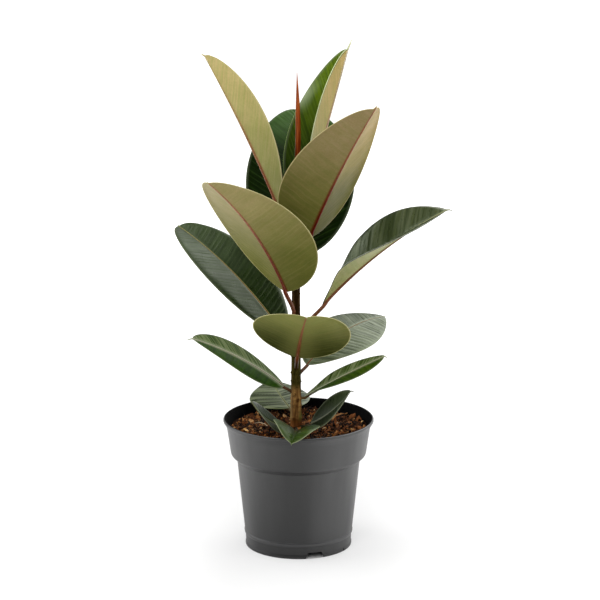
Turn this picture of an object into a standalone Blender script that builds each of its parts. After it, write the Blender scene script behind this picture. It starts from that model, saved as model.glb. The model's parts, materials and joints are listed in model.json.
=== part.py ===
"""A rubber plant (Ficus elastica) standing in a dark grey nursery pot.

Metres, +Z up. The origin is the middle of the pot's base, on the ground. The front of the plant faces -Y.
Each leaf is described by where it leaves the stem and by how it climbs, arches, rolls and folds.
"""

import math

import bpy
from mathutils import Vector

GAP = 0.0003  # clearance between neighbouring pieces

# Pot: turned wall with a rolled lip, a deep collar, a tapering body and a foot ring
POT_HEIGHT = 0.148
RIM_RADIUS = 0.085
WALL = 0.0012
LIP_WIDTH = 0.003
LIP_DROP = 0.003
LIP_ROUND = 0.0009
FLARE_OUT = 0.0012  # how far the collar turns out below the lip, and over what height
FLARE_RISE = 0.0035
COLLAR_TOP_RADIUS = 0.0810
COLLAR_TOP = 0.1375
COLLAR_FOOT_RADIUS = 0.0768
COLLAR_FOOT = 0.109
STEP_ROUND = 0.0014  # rounding of the step between body and collar
BODY_TOP_RADIUS = 0.0697
BODY_TOP = 0.1008
BODY_FOOT_RADIUS = 0.0611
BEAD_TOP = 0.0185
BEAD_BOTTOM = 0.0145
BEAD_PROUD = 0.0006
FOOT_RADIUS = 0.0603
FOOT_WAIST_RADIUS = 0.0598
FOOT_BAND = 0.0035
EDGE_ROUND = 0.0006
EASE = 0.0005  # height over which bands and beads run out
FLOOR_TOP = 0.0135
HUB_RADIUS = 0.011
HUB_FLARE = 0.002
POT_SEGMENTS = 48

# Drainage: three notches through the foot ring and a ring of holes through the floor
NOTCH_ANGLES = (-72, 48, 168)
NOTCH_HEIGHT = 0.007
NOTCH_BOTTOM_WIDTH = 0.023
NOTCH_TOP_WIDTH = 0.016
DRAIN_HOLES = 6
DRAIN_HOLE_RADIUS = 0.004
DRAIN_RING_RADIUS = 0.038
DRAIN_HOLE_SEGMENTS = 14

# Soil
SOIL_LEVEL = 0.137
SOIL_UNEVEN = 0.0014
SOIL_WAVES = ((3, 40, 0.0, 1.0), (5, -90, 1.3, 0.7), (2, 150, 1.57, 0.5))  # turns, per metre, phase, share
SOIL_RINGS = 9
SOIL_SEGMENTS = 40
FACET_SLACK = 0.0003  # what the facets of the pot and of the soil need between them

# Stem: (height, radius) from the buried end to the tip bud
STEM_X = -0.0028
STEM_TAPER = (
    (0.085, 0.0050), (0.120, 0.0062), (0.137, 0.0066), (0.155, 0.0063), (0.185, 0.0056),
    (0.230, 0.0051), (0.300, 0.0046), (0.350, 0.0044), (0.392, 0.0040),
)
SCAR_PROUD = 0.0004
SCAR_HALF_HEIGHT = 0.0030
STEM_SIDES = 14

# Bud sheath: (height, radius) from the stem's tip to the point. It leans to the right and bows a little.
SHEATH_TAPER = (
    (0.3923, 0.0038), (0.420, 0.0034), (0.455, 0.0030), (0.490, 0.0027),
    (0.508, 0.0022), (0.521, 0.0015), (0.533, 0.0008), (0.5425, 0.0002),
)
SHEATH_LEAN = 0.0012
SHEATH_BOW = 0.0016
SHEATH_SIDES = 12

# Leaves
BLADE_THICKNESS = 0.0009
THINNING = 0.4  # share of its thickness that the blade loses by its tip
TIP_SHARE = 0.965  # where the blade's body ends and only the drip tip goes on
TIP_HALF_WIDTH = 0.0005
DRIP_WIDTH = 0.045
DRIP_START = 0.8
DRIP_FADE = 0.1
HOOK_START = 0.72  # share of the whole length from which a hooked leaf bends over
PETIOLE_BASE = 0.0011  # a petiole's radius: this, and more with the blade's width and length
PETIOLE_PER_WIDTH = 0.0075
PETIOLE_PER_LENGTH = 0.0015
PETIOLE_START = 0.006  # distance of a petiole's first ring from the stem's axis, before it is seated
STEEPEST_START = 0.3
RIB_SHARE = 0.8  # the midrib's size where the blade starts, against the petiole's, and how it tapers
RIB_TAPER = 0.7
RIB_END = 0.0002
KEEL_DEPTH = 0.9
WIDEST_SHOULDER = 0.35
BLADE_STATIONS = 15
PETIOLE_STATIONS = 4
STEPS_PER_STATION = 6

# Lengths in millimetres, angles in degrees, from the lowest leaf to the newest.
# node: height on the stem.
# heading: compass of the leaf, 0 at +X and 90 at the back, and sweep: what it turns by on its way to the tip.
# rise: climb at the stem, arch: what that changes by, and hook: what more it bends near the tip.
# roll: turn about the midrib at the base, and twist: what that gains towards the tip.
# fold: how far each half is raised, opening: what that gains towards the tip, cup: what it gains outwards.
# skew and full: outline, below 1 for a wide base, and below 0.6 for full sides.
LEAVES = (
    dict(name="leaf_01", node=142, heading=224, sweep=1, rise=-2, arch=64, roll=-36, twist=3,
         fold=12, opening=4, cup=-4, petiole=22, length=60, width=38, skew=0.94, full=0.62),
    dict(name="leaf_02", node=142, heading=272, sweep=-10, rise=1, arch=13, hook=-36, roll=-7, twist=-4,
         fold=19, opening=12, cup=0, petiole=22, length=78, width=58, skew=0.95, full=0.62),
    dict(name="leaf_03", node=142, heading=318, sweep=9, rise=6, arch=54, roll=42, twist=-4,
         fold=15, opening=6, cup=-3, petiole=24, length=74, width=37, skew=0.94, full=0.62),
    dict(name="leaf_04", node=151, heading=106, sweep=0, rise=2, arch=9, roll=-2, twist=0,
         fold=-4, opening=0, cup=-5, petiole=26, length=83, width=72, skew=1.10, full=0.60),
    dict(name="leaf_05", node=167, heading=357, sweep=-2, rise=32, arch=-6, roll=1, twist=16,
         fold=9, opening=-24, cup=-8, petiole=15, length=103, width=47, skew=0.97, full=0.64),
    dict(name="leaf_06", node=174, heading=194, sweep=14, rise=43, arch=-22, roll=-25, twist=1,
         fold=5, opening=16, cup=-9, petiole=19, length=134, width=56, skew=0.96, full=0.60),
    dict(name="leaf_07", node=194, heading=50, sweep=0, rise=36, arch=-44, roll=9, twist=11,
         fold=-3, opening=-6, cup=-6, petiole=28, length=144, width=75, skew=0.96, full=0.67),
    dict(name="leaf_08", node=204, heading=273, sweep=3, rise=39, arch=-10, roll=-13, twist=8,
         fold=11, opening=13, cup=-4, petiole=37, length=142, width=109, skew=0.94, full=0.63),
    dict(name="leaf_09", node=224, heading=138, sweep=-4, rise=46, arch=-29, roll=-10, twist=-4,
         fold=12, opening=10, cup=0, petiole=33, length=194, width=80, skew=0.91, full=0.51),
    dict(name="leaf_10", node=243, heading=341, sweep=-11, rise=54, arch=-25, roll=5, twist=33,
         fold=31, opening=-17, cup=-1, petiole=50, length=200, width=90, skew=0.96, full=0.89),
    dict(name="leaf_11", node=265, heading=238, sweep=-7, rise=62, arch=-27, roll=3, twist=5,
         fold=19, opening=-4, cup=0, petiole=39, length=205, width=117, skew=0.76, full=0.60),
    dict(name="leaf_12", node=317, heading=307, sweep=4, rise=62, arch=-11, roll=-7, twist=8,
         fold=23, opening=2, cup=1, petiole=50, length=198, width=116, skew=0.79, full=0.53),
    dict(name="leaf_13", node=324, heading=85, sweep=5, rise=51, arch=-16, roll=0, twist=6,
         fold=14, opening=24, cup=1, petiole=12, length=207, width=127, skew=0.91, full=0.54),
    dict(name="leaf_14", node=342, heading=184, sweep=2, rise=70, arch=-9, roll=7, twist=14,
         fold=34, opening=11, cup=2, petiole=56, length=192, width=77, skew=0.98, full=0.57),
    dict(name="leaf_15", node=367, heading=40, sweep=-8, rise=68, arch=4, roll=-5, twist=-16,
         fold=45, opening=0, cup=1, petiole=27, length=191, width=83, skew=0.82, full=0.60),
)


def smooth_step(x):
    x = min(max(x, 0.0), 1.0)
    return x * x * (3 - 2 * x)


def along(table, height):
    """The second column of the table at this height, between its rows."""
    if height <= table[0][0]:
        return table[0][1]
    for (z0, r0), (z1, r1) in zip(table, table[1:]):
        if height <= z1:
            return r0 + (r1 - r0) * (height - z0) / (z1 - z0)
    return table[-1][1]


def material(name, colour, roughness):
    made = bpy.data.materials.new(name)
    made.use_nodes = True
    shader = made.node_tree.nodes["Principled BSDF"]
    shader.inputs["Base Color"].default_value = (*colour, 1)
    shader.inputs["Roughness"].default_value = roughness
    return made


def object_from(name, vertices, faces, look, smooth=True):
    mesh = bpy.data.meshes.new(name)
    mesh.from_pydata(vertices, [], faces)
    mesh.update()
    if smooth:
        mesh.shade_smooth()
        mesh.set_sharp_from_angle(angle=math.radians(35))
    mesh.materials.append(look)
    made = bpy.data.objects.new(name, mesh)
    bpy.context.collection.objects.link(made)
    return made


def skinned(rings):
    """Vertices and faces of a closed tube through the rings, wound anticlockwise seen from the last one."""
    count = len(rings[0])
    vertices = [point for ring in rings for point in ring]
    faces = []
    for level in range(len(rings) - 1):
        low = level * count
        for i in range(count):
            j = (i + 1) % count
            faces.append((low + i, low + j, low + count + j, low + count + i))
    for ring, turn in ((0, -1), (len(rings) - 1, 1)):
        centre = len(vertices)
        vertices.append(sum(rings[ring], Vector()) / count)
        for i in range(count):
            pair = (ring * count + i, ring * count + (i + 1) % count)
            faces.append((centre, *pair[::turn]))
    return vertices, faces


def turned(name, profile, segments, look, centre_x=0.0, lean=0.0, bow=0.0):
    """A closed solid turned about an upright axis, from a profile that starts and ends on the axis, wound so
    that it runs out along the underside and back in over the top. lean is how far its top stands to the
    right of its base, and bow how far its middle swells to the right of the line between them."""
    base, span = profile[0][1], profile[-1][1] - profile[0][1]

    def at(radius, height, angle):
        share = (height - base) / span
        middle = centre_x + lean * share + bow * math.sin(math.pi * share)
        return Vector((middle + radius * math.cos(angle), radius * math.sin(angle), height))

    vertices = [at(0, base, 0)]
    for radius, height in profile[1:-1]:
        vertices += [at(radius, height, 2 * math.pi * i / segments) for i in range(segments)]
    vertices.append(at(0, profile[-1][1], 0))
    rings = len(profile) - 2
    faces = []
    for i in range(segments):
        j = (i + 1) % segments
        faces.append((0, 1 + j, 1 + i))
        for ring in range(rings - 1):
            low = 1 + ring * segments
            faces.append((low + i, low + j, low + segments + j, low + segments + i))
        low = 1 + (rings - 1) * segments
        faces.append((low + i, low + j, len(vertices) - 1))
    return object_from(name, vertices, faces, look)


# ---- pot ----

def pot_outside():
    """The outer wall from the ground to the lip, as (radius, height)."""
    return [
        (FOOT_RADIUS - EDGE_ROUND, 0.0),
        (FOOT_RADIUS, EDGE_ROUND),
        (FOOT_RADIUS, FOOT_BAND - EASE),
        (FOOT_WAIST_RADIUS, FOOT_BAND + 2 * EASE),
        (FOOT_RADIUS, BEAD_BOTTOM - 2 * EASE),
        (BODY_FOOT_RADIUS + BEAD_PROUD / 2, BEAD_BOTTOM + EASE),
        (BODY_FOOT_RADIUS + BEAD_PROUD, BEAD_TOP - 2 * EASE),
        (BODY_FOOT_RADIUS, BEAD_TOP),
        (BODY_TOP_RADIUS, BODY_TOP),
        (BODY_TOP_RADIUS + STEP_ROUND, BODY_TOP + STEP_ROUND),
        (COLLAR_FOOT_RADIUS - STEP_ROUND / 2, COLLAR_FOOT - 1.5 * STEP_ROUND),
        (COLLAR_FOOT_RADIUS, COLLAR_FOOT),
        (COLLAR_TOP_RADIUS, COLLAR_TOP),
        (COLLAR_TOP_RADIUS + FLARE_OUT, COLLAR_TOP + FLARE_RISE),
        (RIM_RADIUS - LIP_ROUND, POT_HEIGHT - LIP_DROP - LIP_ROUND),
        (RIM_RADIUS, POT_HEIGHT - LIP_DROP),
        (RIM_RADIUS, POT_HEIGHT - LIP_ROUND),
        (RIM_RADIUS - LIP_ROUND, POT_HEIGHT),
    ]


def pot_inside():
    """The inner wall from the lip down to the floor and the hub's well, as (radius, height)."""
    return [
        (RIM_RADIUS - LIP_WIDTH + EDGE_ROUND, POT_HEIGHT),
        (RIM_RADIUS - LIP_WIDTH, POT_HEIGHT - EDGE_ROUND),
        (COLLAR_TOP_RADIUS - WALL, COLLAR_TOP),
        (COLLAR_FOOT_RADIUS - WALL, COLLAR_FOOT),
        (BODY_TOP_RADIUS - WALL, BODY_TOP),
        (BODY_FOOT_RADIUS - WALL, FLOOR_TOP),
        (HUB_RADIUS + HUB_FLARE - WALL, FLOOR_TOP),
        (HUB_RADIUS - WALL, WALL),
    ]


def notch_cutter(degrees):
    """A wedge-sided block that crosses the foot ring at this angle, its sides leaning in towards the top."""
    below = 0.002  # how far the block starts under the ground
    reach = (FOOT_RADIUS - 0.010, FOOT_RADIUS + 0.006)
    lean = (NOTCH_BOTTOM_WIDTH - NOTCH_TOP_WIDTH) / 2 / NOTCH_HEIGHT * below
    section = (
        (-NOTCH_BOTTOM_WIDTH / 2 - lean, -below),
        (NOTCH_BOTTOM_WIDTH / 2 + lean, -below),
        (NOTCH_TOP_WIDTH / 2, NOTCH_HEIGHT),
        (-NOTCH_TOP_WIDTH / 2, NOTCH_HEIGHT),
    )
    rings = [[Vector((out, across, up)) for across, up in section] for out in reach]
    cutter = object_from(f"notch_cutter_{degrees}", *skinned(rings), None, smooth=False)
    cutter.rotation_euler.z = math.radians(degrees)
    return cutter


def hole_cutter(angle):
    bpy.ops.mesh.primitive_cylinder_add(
        vertices=DRAIN_HOLE_SEGMENTS, radius=DRAIN_HOLE_RADIUS, depth=6 * WALL,
        location=(DRAIN_RING_RADIUS * math.cos(angle), DRAIN_RING_RADIUS * math.sin(angle), FLOOR_TOP),
    )
    return bpy.context.object


def make_pot():
    underside = [
        (0.0, 0.0),
        (HUB_RADIUS, 0.0),
        (HUB_RADIUS + HUB_FLARE, FLOOR_TOP - WALL),
        (BODY_FOOT_RADIUS - 2 * WALL, FLOOR_TOP - WALL),
        (FOOT_RADIUS - 2 * WALL, 0.0),
    ]
    profile = underside + pot_outside() + pot_inside() + [(0.0, WALL)]
    look = material("pot_plastic", (0.052, 0.053, 0.055), 0.42)
    pot = turned("nursery_pot", profile, POT_SEGMENTS, look)
    cutters = [notch_cutter(degrees) for degrees in NOTCH_ANGLES]
    first = math.radians(NOTCH_ANGLES[0])
    cutters += [hole_cutter(first + 2 * math.pi * i / DRAIN_HOLES) for i in range(DRAIN_HOLES)]
    for cutter in cutters:
        cutter.hide_render = True
        cutter.display_type = "WIRE"
        cut = pot.modifiers.new(cutter.name, "BOOLEAN")
        cut.operation = "DIFFERENCE"
        cut.solver = "EXACT"
        cut.object = cutter


# ---- soil and stem ----

def soil_height(radius, angle):
    """Gentle heaps and dips, level at the wall and at the stem."""
    waves = sum(
        share * math.sin(turns * angle + per_metre * radius + phase)
        for turns, per_metre, phase, share in SOIL_WAVES
    )
    return SOIL_LEVEL + SOIL_UNEVEN * waves / sum(share for *_, share in SOIL_WAVES)


def make_soil():
    wall = [(radius - GAP - FACET_SLACK, height) for radius, height in pot_inside()[3:6]]
    collar = ((COLLAR_FOOT, COLLAR_FOOT_RADIUS), (COLLAR_TOP, COLLAR_TOP_RADIUS))
    top_radius = along(collar, SOIL_LEVEL) - WALL - GAP - FACET_SLACK
    outline = [
        (HUB_RADIUS - WALL - GAP, WALL + GAP),
        (HUB_RADIUS + HUB_FLARE - WALL - GAP, FLOOR_TOP + GAP),
        (wall[2][0], FLOOR_TOP + GAP),
        wall[1],
        wall[0],
    ]
    stem_end = STEM_TAPER[0][0] - GAP
    pit = [(along(STEM_TAPER, height) + GAP, height) for height in (stem_end, STEM_TAPER[1][0])]
    neck = along(STEM_TAPER, SOIL_LEVEL) + GAP
    segments = SOIL_SEGMENTS
    vertices = [Vector((0, 0, WALL + GAP))]

    def ring(radius, height, centre_x=0.0, rough=False):
        for i in range(segments):
            angle = 2 * math.pi * i / segments
            z = soil_height(radius, angle) if rough else height
            vertices.append(Vector((centre_x + radius * math.cos(angle), radius * math.sin(angle), z)))

    for radius, height in outline:
        ring(radius, height)
    for k in range(SOIL_RINGS):
        share = k / (SOIL_RINGS - 1)
        radius = top_radius + (neck - top_radius) * share
        ring(radius, 0, STEM_X * smooth_step(share), rough=True)
    for radius, height in reversed(pit):
        ring(radius, height, STEM_X)
    vertices.append(Vector((STEM_X, 0, stem_end)))
    rings = (len(vertices) - 2) // segments
    faces = []
    for i in range(segments):
        j = (i + 1) % segments
        faces.append((0, 1 + j, 1 + i))
        for level in range(rings - 1):
            low = 1 + level * segments
            faces.append((low + i, low + j, low + segments + j, low + segments + i))
        low = 1 + (rings - 1) * segments
        faces.append((low + i, low + j, len(vertices) - 1))
    object_from("potting_soil", vertices, faces, material("bark_and_coir", (0.085, 0.032, 0.014), 0.95))


def stem_radius(height):
    """The stem's taper, with the raised scar that every leaf node leaves."""
    radius = along(STEM_TAPER, height)
    for leaf in LEAVES:
        away = (height - leaf["node"] / 1000 + SCAR_HALF_HEIGHT) / SCAR_HALF_HEIGHT
        if abs(away) < 1 and leaf["node"] > 145:
            radius += SCAR_PROUD * (1 + math.cos(math.pi * away)) / 2
    return radius


def make_stem():
    heights = {z for z, _ in STEM_TAPER}
    for leaf in LEAVES:
        node = leaf["node"] / 1000
        if node > 0.145:
            heights |= {node - 2 * SCAR_HALF_HEIGHT, node - SCAR_HALF_HEIGHT, node}
    levels = []
    for z in sorted(heights):
        if not levels or z - levels[-1] > 0.0012:
            levels.append(z)
    levels[-1] = STEM_TAPER[-1][0]
    profile = [(0.0, levels[0])] + [(stem_radius(z), z) for z in levels] + [(0.0, levels[-1])]
    turned("stem", profile, STEM_SIDES, material("young_bark", (0.20, 0.10, 0.045), 0.7), STEM_X)


def make_sheath():
    base, point = SHEATH_TAPER[0][0], SHEATH_TAPER[-1][0]
    profile = [(0.0, base)] + [(radius, z) for z, radius in SHEATH_TAPER] + [(0.0, point)]
    look = material("red_sheath", (0.38, 0.10, 0.04), 0.45)
    turned("bud_sheath", profile, SHEATH_SIDES, look, STEM_X, SHEATH_LEAN, SHEATH_BOW)


# ---- leaves ----

def half_width(leaf, t):
    """Half the blade's width at the share t of its length."""
    body = 0.0
    if t < TIP_SHARE:
        body = max(0.0, math.sin(math.pi * (t / TIP_SHARE) ** leaf["skew"])) ** leaf["full"]
    drip = DRIP_WIDTH * min(1.0, (1 - t) / DRIP_FADE) ** 0.8 if t > DRIP_START else 0.0
    return leaf["width"] / 2000 * (body ** 4 + drip ** 4) ** 0.25


def petiole_radius(leaf):
    return PETIOLE_BASE + (PETIOLE_PER_WIDTH * leaf["width"] + PETIOLE_PER_LENGTH * leaf["length"]) / 1000


def direction(leaf, share):
    bent = leaf.get("hook", 0) * smooth_step((share - HOOK_START) / (1 - HOOK_START))
    rise = math.radians(leaf["rise"] + leaf["arch"] * share + bent)
    heading = math.radians(leaf["heading"] + leaf["sweep"] * share)
    flat = Vector((math.cos(heading), math.sin(heading), 0))
    return flat * math.cos(rise) + Vector((0, 0, math.sin(rise)))


def axes(leaf, share, t):
    """The directions along the leaf, across it and up from its face, at this share of its whole length."""
    ahead = direction(leaf, share)
    heading = math.radians(leaf["heading"] + leaf["sweep"] * share)
    level = Vector((-math.sin(heading), math.cos(heading), 0))
    above = ahead.cross(level)
    roll = math.radians(leaf["roll"] + leaf["twist"] * t)
    across = level * math.cos(roll) + above * math.sin(roll)
    return ahead, across, above * math.cos(roll) - level * math.sin(roll)


def round_section(centre, across, up, radius):
    """A petiole's section, with its points at the places that the blade's section has."""
    angles = (165, 125, 90, 55, 15, -15, -45, -70, -90, -110, -135, -165)
    section = []
    for degrees in angles:
        angle = math.radians(degrees)
        section.append(centre + across * radius * math.cos(angle) + up * radius * math.sin(angle))
    return section


def blade_section(leaf, middle, across, up, t, rib):
    """Five points over the top from edge to edge, then seven back along the underside, over the midrib."""
    width = max(half_width(leaf, t), TIP_HALF_WIDTH)
    thickness = BLADE_THICKNESS * (1 - THINNING * t)
    fold = math.radians(leaf["fold"] + leaf["opening"] * (t - 0.5))
    cup = math.radians(leaf["cup"])

    def surface(share, depth):
        side = -1 if share < 0 else 1
        reach = abs(share)
        tilt = fold + cup * reach / 2
        out = across * side * math.cos(tilt) + up * math.sin(tilt)
        face = up * math.cos(fold + cup * reach) - across * side * math.sin(fold + cup * reach)
        return middle + out * width * reach - face * depth

    shoulder = min(WIDEST_SHOULDER, rib / width)
    keel = middle - up * (thickness / math.cos(fold) + rib * KEEL_DEPTH)
    top = [surface(-1, 0.0), surface(-0.5, 0.0), middle, surface(0.5, 0.0), surface(1, 0.0)]
    under = [surface(share, thickness) for share in (1, 0.5, shoulder)] + [keel]
    under += [surface(share, thickness) for share in (-shoulder, -0.5, -1)]
    return top + under


def seated(point, ahead, axis):
    """The point moved back along the petiole until it is a gap away from the stem."""
    flat = Vector((point.x - axis, point.y, 0))
    run = Vector((ahead.x, ahead.y, 0))
    for _ in range(4):
        reach = stem_radius(point.z) + GAP
        a, b, c = run.dot(run), flat.dot(run), flat.dot(flat) - reach * reach
        step = (-b + math.sqrt(max(b * b - a * c, 0.0))) / a
        point = point + ahead * step
        flat = Vector((point.x - axis, point.y, 0))
    return point


def make_leaf(leaf, look):
    petiole, length = leaf["petiole"] / 1000, leaf["length"] / 1000
    whole = petiole + length
    radius = petiole_radius(leaf)
    start = PETIOLE_START / max(math.cos(math.radians(leaf["rise"])), STEEPEST_START)
    stations = [start + (petiole - start) * k / PETIOLE_STATIONS for k in range(PETIOLE_STATIONS + 1)]
    for k in range(1, BLADE_STATIONS + 1):
        stations.append(petiole + length * (1 - math.cos(math.pi * k / BLADE_STATIONS)) / 2)
    middle, done = Vector((STEM_X, 0, leaf["node"] / 1000)), 0.0
    rings = []
    for station in stations:
        step = (station - done) / STEPS_PER_STATION
        for _ in range(STEPS_PER_STATION):
            middle = middle + direction(leaf, (done + step / 2) / whole) * step
            done += step
        t = min(max((station - petiole) / length, 0.0), 1.0)
        _, across, up = axes(leaf, station / whole, t)
        if t == 0:
            drop = smooth_step((station - start) / (petiole - start))
            rings.append(round_section(middle - up * radius * drop, across, up, radius))
        else:
            rib = radius * RIB_SHARE * (1 - t) ** RIB_TAPER + RIB_END
            rings.append(blade_section(leaf, middle, across, up, t, rib))
    ahead = direction(leaf, 0)
    rings[0] = [seated(point, ahead, STEM_X) for point in rings[0]]
    rings = [ring[::-1] for ring in rings]
    vertices, faces = skinned(rings)
    foot = len(rings) * len(rings[0])
    vertices[foot] = seated(vertices[foot], ahead, STEM_X)
    object_from(leaf["name"], vertices, faces, look)


def main():
    for old in list(bpy.data.objects):
        bpy.data.objects.remove(old)
    make_pot()
    make_soil()
    make_stem()
    make_sheath()
    for leaf in LEAVES:
        make_leaf(leaf, material(leaf["name"] + "_green", (0.055, 0.085, 0.030), 0.4))


main()
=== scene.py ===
import json
import math
import random

import bpy
from mathutils import Matrix, Vector, noise

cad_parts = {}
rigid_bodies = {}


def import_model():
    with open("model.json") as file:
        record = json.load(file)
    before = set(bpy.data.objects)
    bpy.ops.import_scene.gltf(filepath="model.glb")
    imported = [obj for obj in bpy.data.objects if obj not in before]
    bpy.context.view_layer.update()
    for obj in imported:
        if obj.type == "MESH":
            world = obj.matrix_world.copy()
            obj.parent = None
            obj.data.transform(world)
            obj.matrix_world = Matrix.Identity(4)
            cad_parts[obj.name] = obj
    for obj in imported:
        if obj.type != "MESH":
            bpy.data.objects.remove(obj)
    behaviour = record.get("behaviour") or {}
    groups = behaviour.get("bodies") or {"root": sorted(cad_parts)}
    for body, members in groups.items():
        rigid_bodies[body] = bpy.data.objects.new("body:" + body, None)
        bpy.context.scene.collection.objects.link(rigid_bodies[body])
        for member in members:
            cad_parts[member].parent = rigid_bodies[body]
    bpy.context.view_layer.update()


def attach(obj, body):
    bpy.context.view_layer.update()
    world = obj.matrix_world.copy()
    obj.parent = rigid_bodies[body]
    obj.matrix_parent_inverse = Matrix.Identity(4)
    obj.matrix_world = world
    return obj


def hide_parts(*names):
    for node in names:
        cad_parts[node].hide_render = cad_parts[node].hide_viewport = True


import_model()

bpy.context.scene.view_settings.view_transform = "Standard"
for name in ("Cube", "Light", "Camera"):
    if name in bpy.data.objects:
        bpy.data.objects.remove(bpy.data.objects[name])


# small helpers shared by all the pieces

def smoothStep(x):
    x = min(max(x, 0.0), 1.0)
    return x * x * (3 - 2 * x)


def readTable(table, place):
    if place <= table[0][0]:
        return table[0][1]
    for (low, first), (high, second) in zip(table, table[1:]):
        if place <= high:
            return first + (second - first) * (place - low) / (high - low)
    return table[-1][1]


def around(count):
    return [2 * math.pi * i / count for i in range(count)]


def newObject(name, vertices, faces):
    mesh = bpy.data.meshes.new(name)
    mesh.from_pydata(vertices, [], faces)
    mesh.update()
    made = bpy.data.objects.new(name, mesh)
    bpy.context.scene.collection.objects.link(made)
    return made


def addAttribute(piece, name, values, kind="FLOAT", domain="POINT"):
    piece.data.attributes.new(name, kind, domain).data.foreach_set("value", values)


# joins rings of equal size into a skin, each anticlockwise as seen from the last one. It is closed with a
# face at each end, or with the first ring where the rings run round a loop.
def skinOver(rings, looped=False):
    count, levels = len(rings[0]), len(rings)
    vertices = [point for ring in rings for point in ring]
    faces = []
    for level in range(levels if looped else levels - 1):
        low, high = level * count, (level + 1) % levels * count
        for i in range(count):
            j = (i + 1) % count
            faces.append((low + i, low + j, high + j, high + i))
    if not looped:
        last = (levels - 1) * count
        faces.append(tuple(range(count - 1, -1, -1)))
        faces.append(tuple(range(last, last + count)))
    return vertices, faces


# a value in a node tree. A sum with it adds a Math node.
class nodeValue:
    def __init__(self, nodes, socket):
        self.nodes = nodes
        self.socket = socket

    def maths(self, operation, second=0.0, third=0.0, clamp=False):
        inputs = {0: self, 1: second, 2: third}
        return self.nodes.value("ShaderNodeMath", inputs, operation=operation, use_clamp=clamp)

    def __add__(self, other):
        return self.maths("ADD", other)

    def __sub__(self, other):
        return self.maths("SUBTRACT", other)

    def __mul__(self, other):
        return self.maths("MULTIPLY", other)

    def __truediv__(self, other):
        return self.maths("DIVIDE", other)

    # first below low, second above high, smooth between them
    def fade(self, low, high, first=0.0, second=1.0):
        inputs = {0: self, 1: low, 2: high, 3: first, 4: second}
        return self.nodes.value("ShaderNodeMapRange", inputs, interpolation_type="SMOOTHSTEP")

    def mix(self, first, second, blend="MIX"):
        return self.nodes.mix(self, first, second, blend)


# a node tree, with short ways to add what the trees here need
class nodeTree:
    def __init__(self, tree):
        self.tree = tree

    def feed(self, socket, value):
        if isinstance(value, nodeValue):
            self.tree.links.new(value.socket, socket)
        elif socket.type == "RGBA" and len(value) == 3:
            socket.default_value = (*value, 1.0)
        else:
            socket.default_value = value

    # a node with its options by name and its inputs by name or number
    def add(self, kind, inputs=None, **options):
        made = self.tree.nodes.new(kind)
        for option, value in options.items():
            setattr(made, option, value)
        for key, value in (inputs or {}).items():
            self.feed(made.inputs[key], value)
        return made

    # the same, and gives one of its outputs
    def value(self, kind, inputs=None, output=0, **options):
        return nodeValue(self, self.add(kind, inputs, **options).outputs[output])

    def mix(self, share, first, second, blend="MIX"):
        inputs = {0: share, 6: first, 7: second}
        return self.value("ShaderNodeMix", inputs, 2, data_type="RGBA", blend_type=blend)

    def vector(self, x=0.0, y=0.0, z=0.0):
        return self.value("ShaderNodeCombineXYZ", {0: x, 1: y, 2: z})

    def apart(self, vector):
        return [nodeValue(self, socket) for socket in self.add("ShaderNodeSeparateXYZ", {0: vector}).outputs]

    def vectorMaths(self, operation, inputs):
        output = 0 if operation in ("MULTIPLY", "SCALE") else "Value"
        return self.value("ShaderNodeVectorMath", inputs, output, operation=operation)

    # a fourth value makes it four-dimensional
    def noise(self, vector, scale, detail=3.0, roughness=0.5, fourth=None):
        inputs = {"Vector": vector, "Scale": scale, "Detail": detail, "Roughness": roughness}
        if fourth is None:
            return self.value("ShaderNodeTexNoise", inputs)
        return self.value("ShaderNodeTexNoise", inputs | {"W": fourth}, noise_dimensions="4D")

    # for materials
    def place(self):
        return self.value("ShaderNodeTexCoord", output="Object")

    def read(self, name):
        return self.value("ShaderNodeAttribute", output="Fac", attribute_name=name)

    def stretched(self, vector, scale):
        return self.value("ShaderNodeMapping", {"Vector": vector, "Scale": scale})

    def paint(self, name, value):
        self.feed(self.tree.nodes["Principled BSDF"].inputs[name], value)

    def bump(self, height, distance, strength=1.0):
        inputs = {"Height": height, "Distance": distance, "Strength": strength}
        self.paint("Normal", self.value("ShaderNodeBump", inputs))

    # for Geometry Nodes
    def named(self, name, kind="FLOAT"):
        inputs = {"Name": name}
        return self.value("GeometryNodeInputNamedAttribute", inputs, "Attribute", data_type=kind)

    def random(self, low, high, seed):
        made = self.add("FunctionNodeRandomValue", data_type="FLOAT")
        sockets = {socket.identifier: socket for socket in made.inputs}
        for key, value in (("Min_001", low), ("Max_001", high), ("Seed", seed)):
            sockets[key].default_value = value
        return nodeValue(self, made.outputs[1])

    def move(self, geometry, **to):
        return self.value("GeometryNodeSetPosition", {"Geometry": geometry, **to})

    def store(self, geometry, name, value, domain):
        inputs = {"Geometry": geometry, "Name": name, "Value": value}
        return self.value("GeometryNodeStoreNamedAttribute", inputs, data_type="FLOAT", domain=domain)

    def join(self, parts):
        joined = self.add("GeometryNodeJoinGeometry")
        for part in parts:
            self.feed(joined.inputs[0], part)
        return nodeValue(self, joined.outputs[0])

    def realize(self, geometry):
        return self.value("GeometryNodeRealizeInstances", {0: geometry})

    def coat(self, geometry, material, **only):
        return self.value("GeometryNodeSetMaterial", {"Geometry": geometry, "Material": material, **only})

    def finish(self, geometry):
        self.feed(self.tree.nodes["Group Output"].inputs[0], geometry)


def newMaterial(name, base, roughness, specular=0.5):
    made = bpy.data.materials.new(name)
    made.use_nodes = True
    nodes = nodeTree(made.node_tree)
    nodes.paint("Base Color", base)
    nodes.paint("Roughness", roughness)
    nodes.paint("Specular IOR Level", specular)
    return made, nodes


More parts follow.
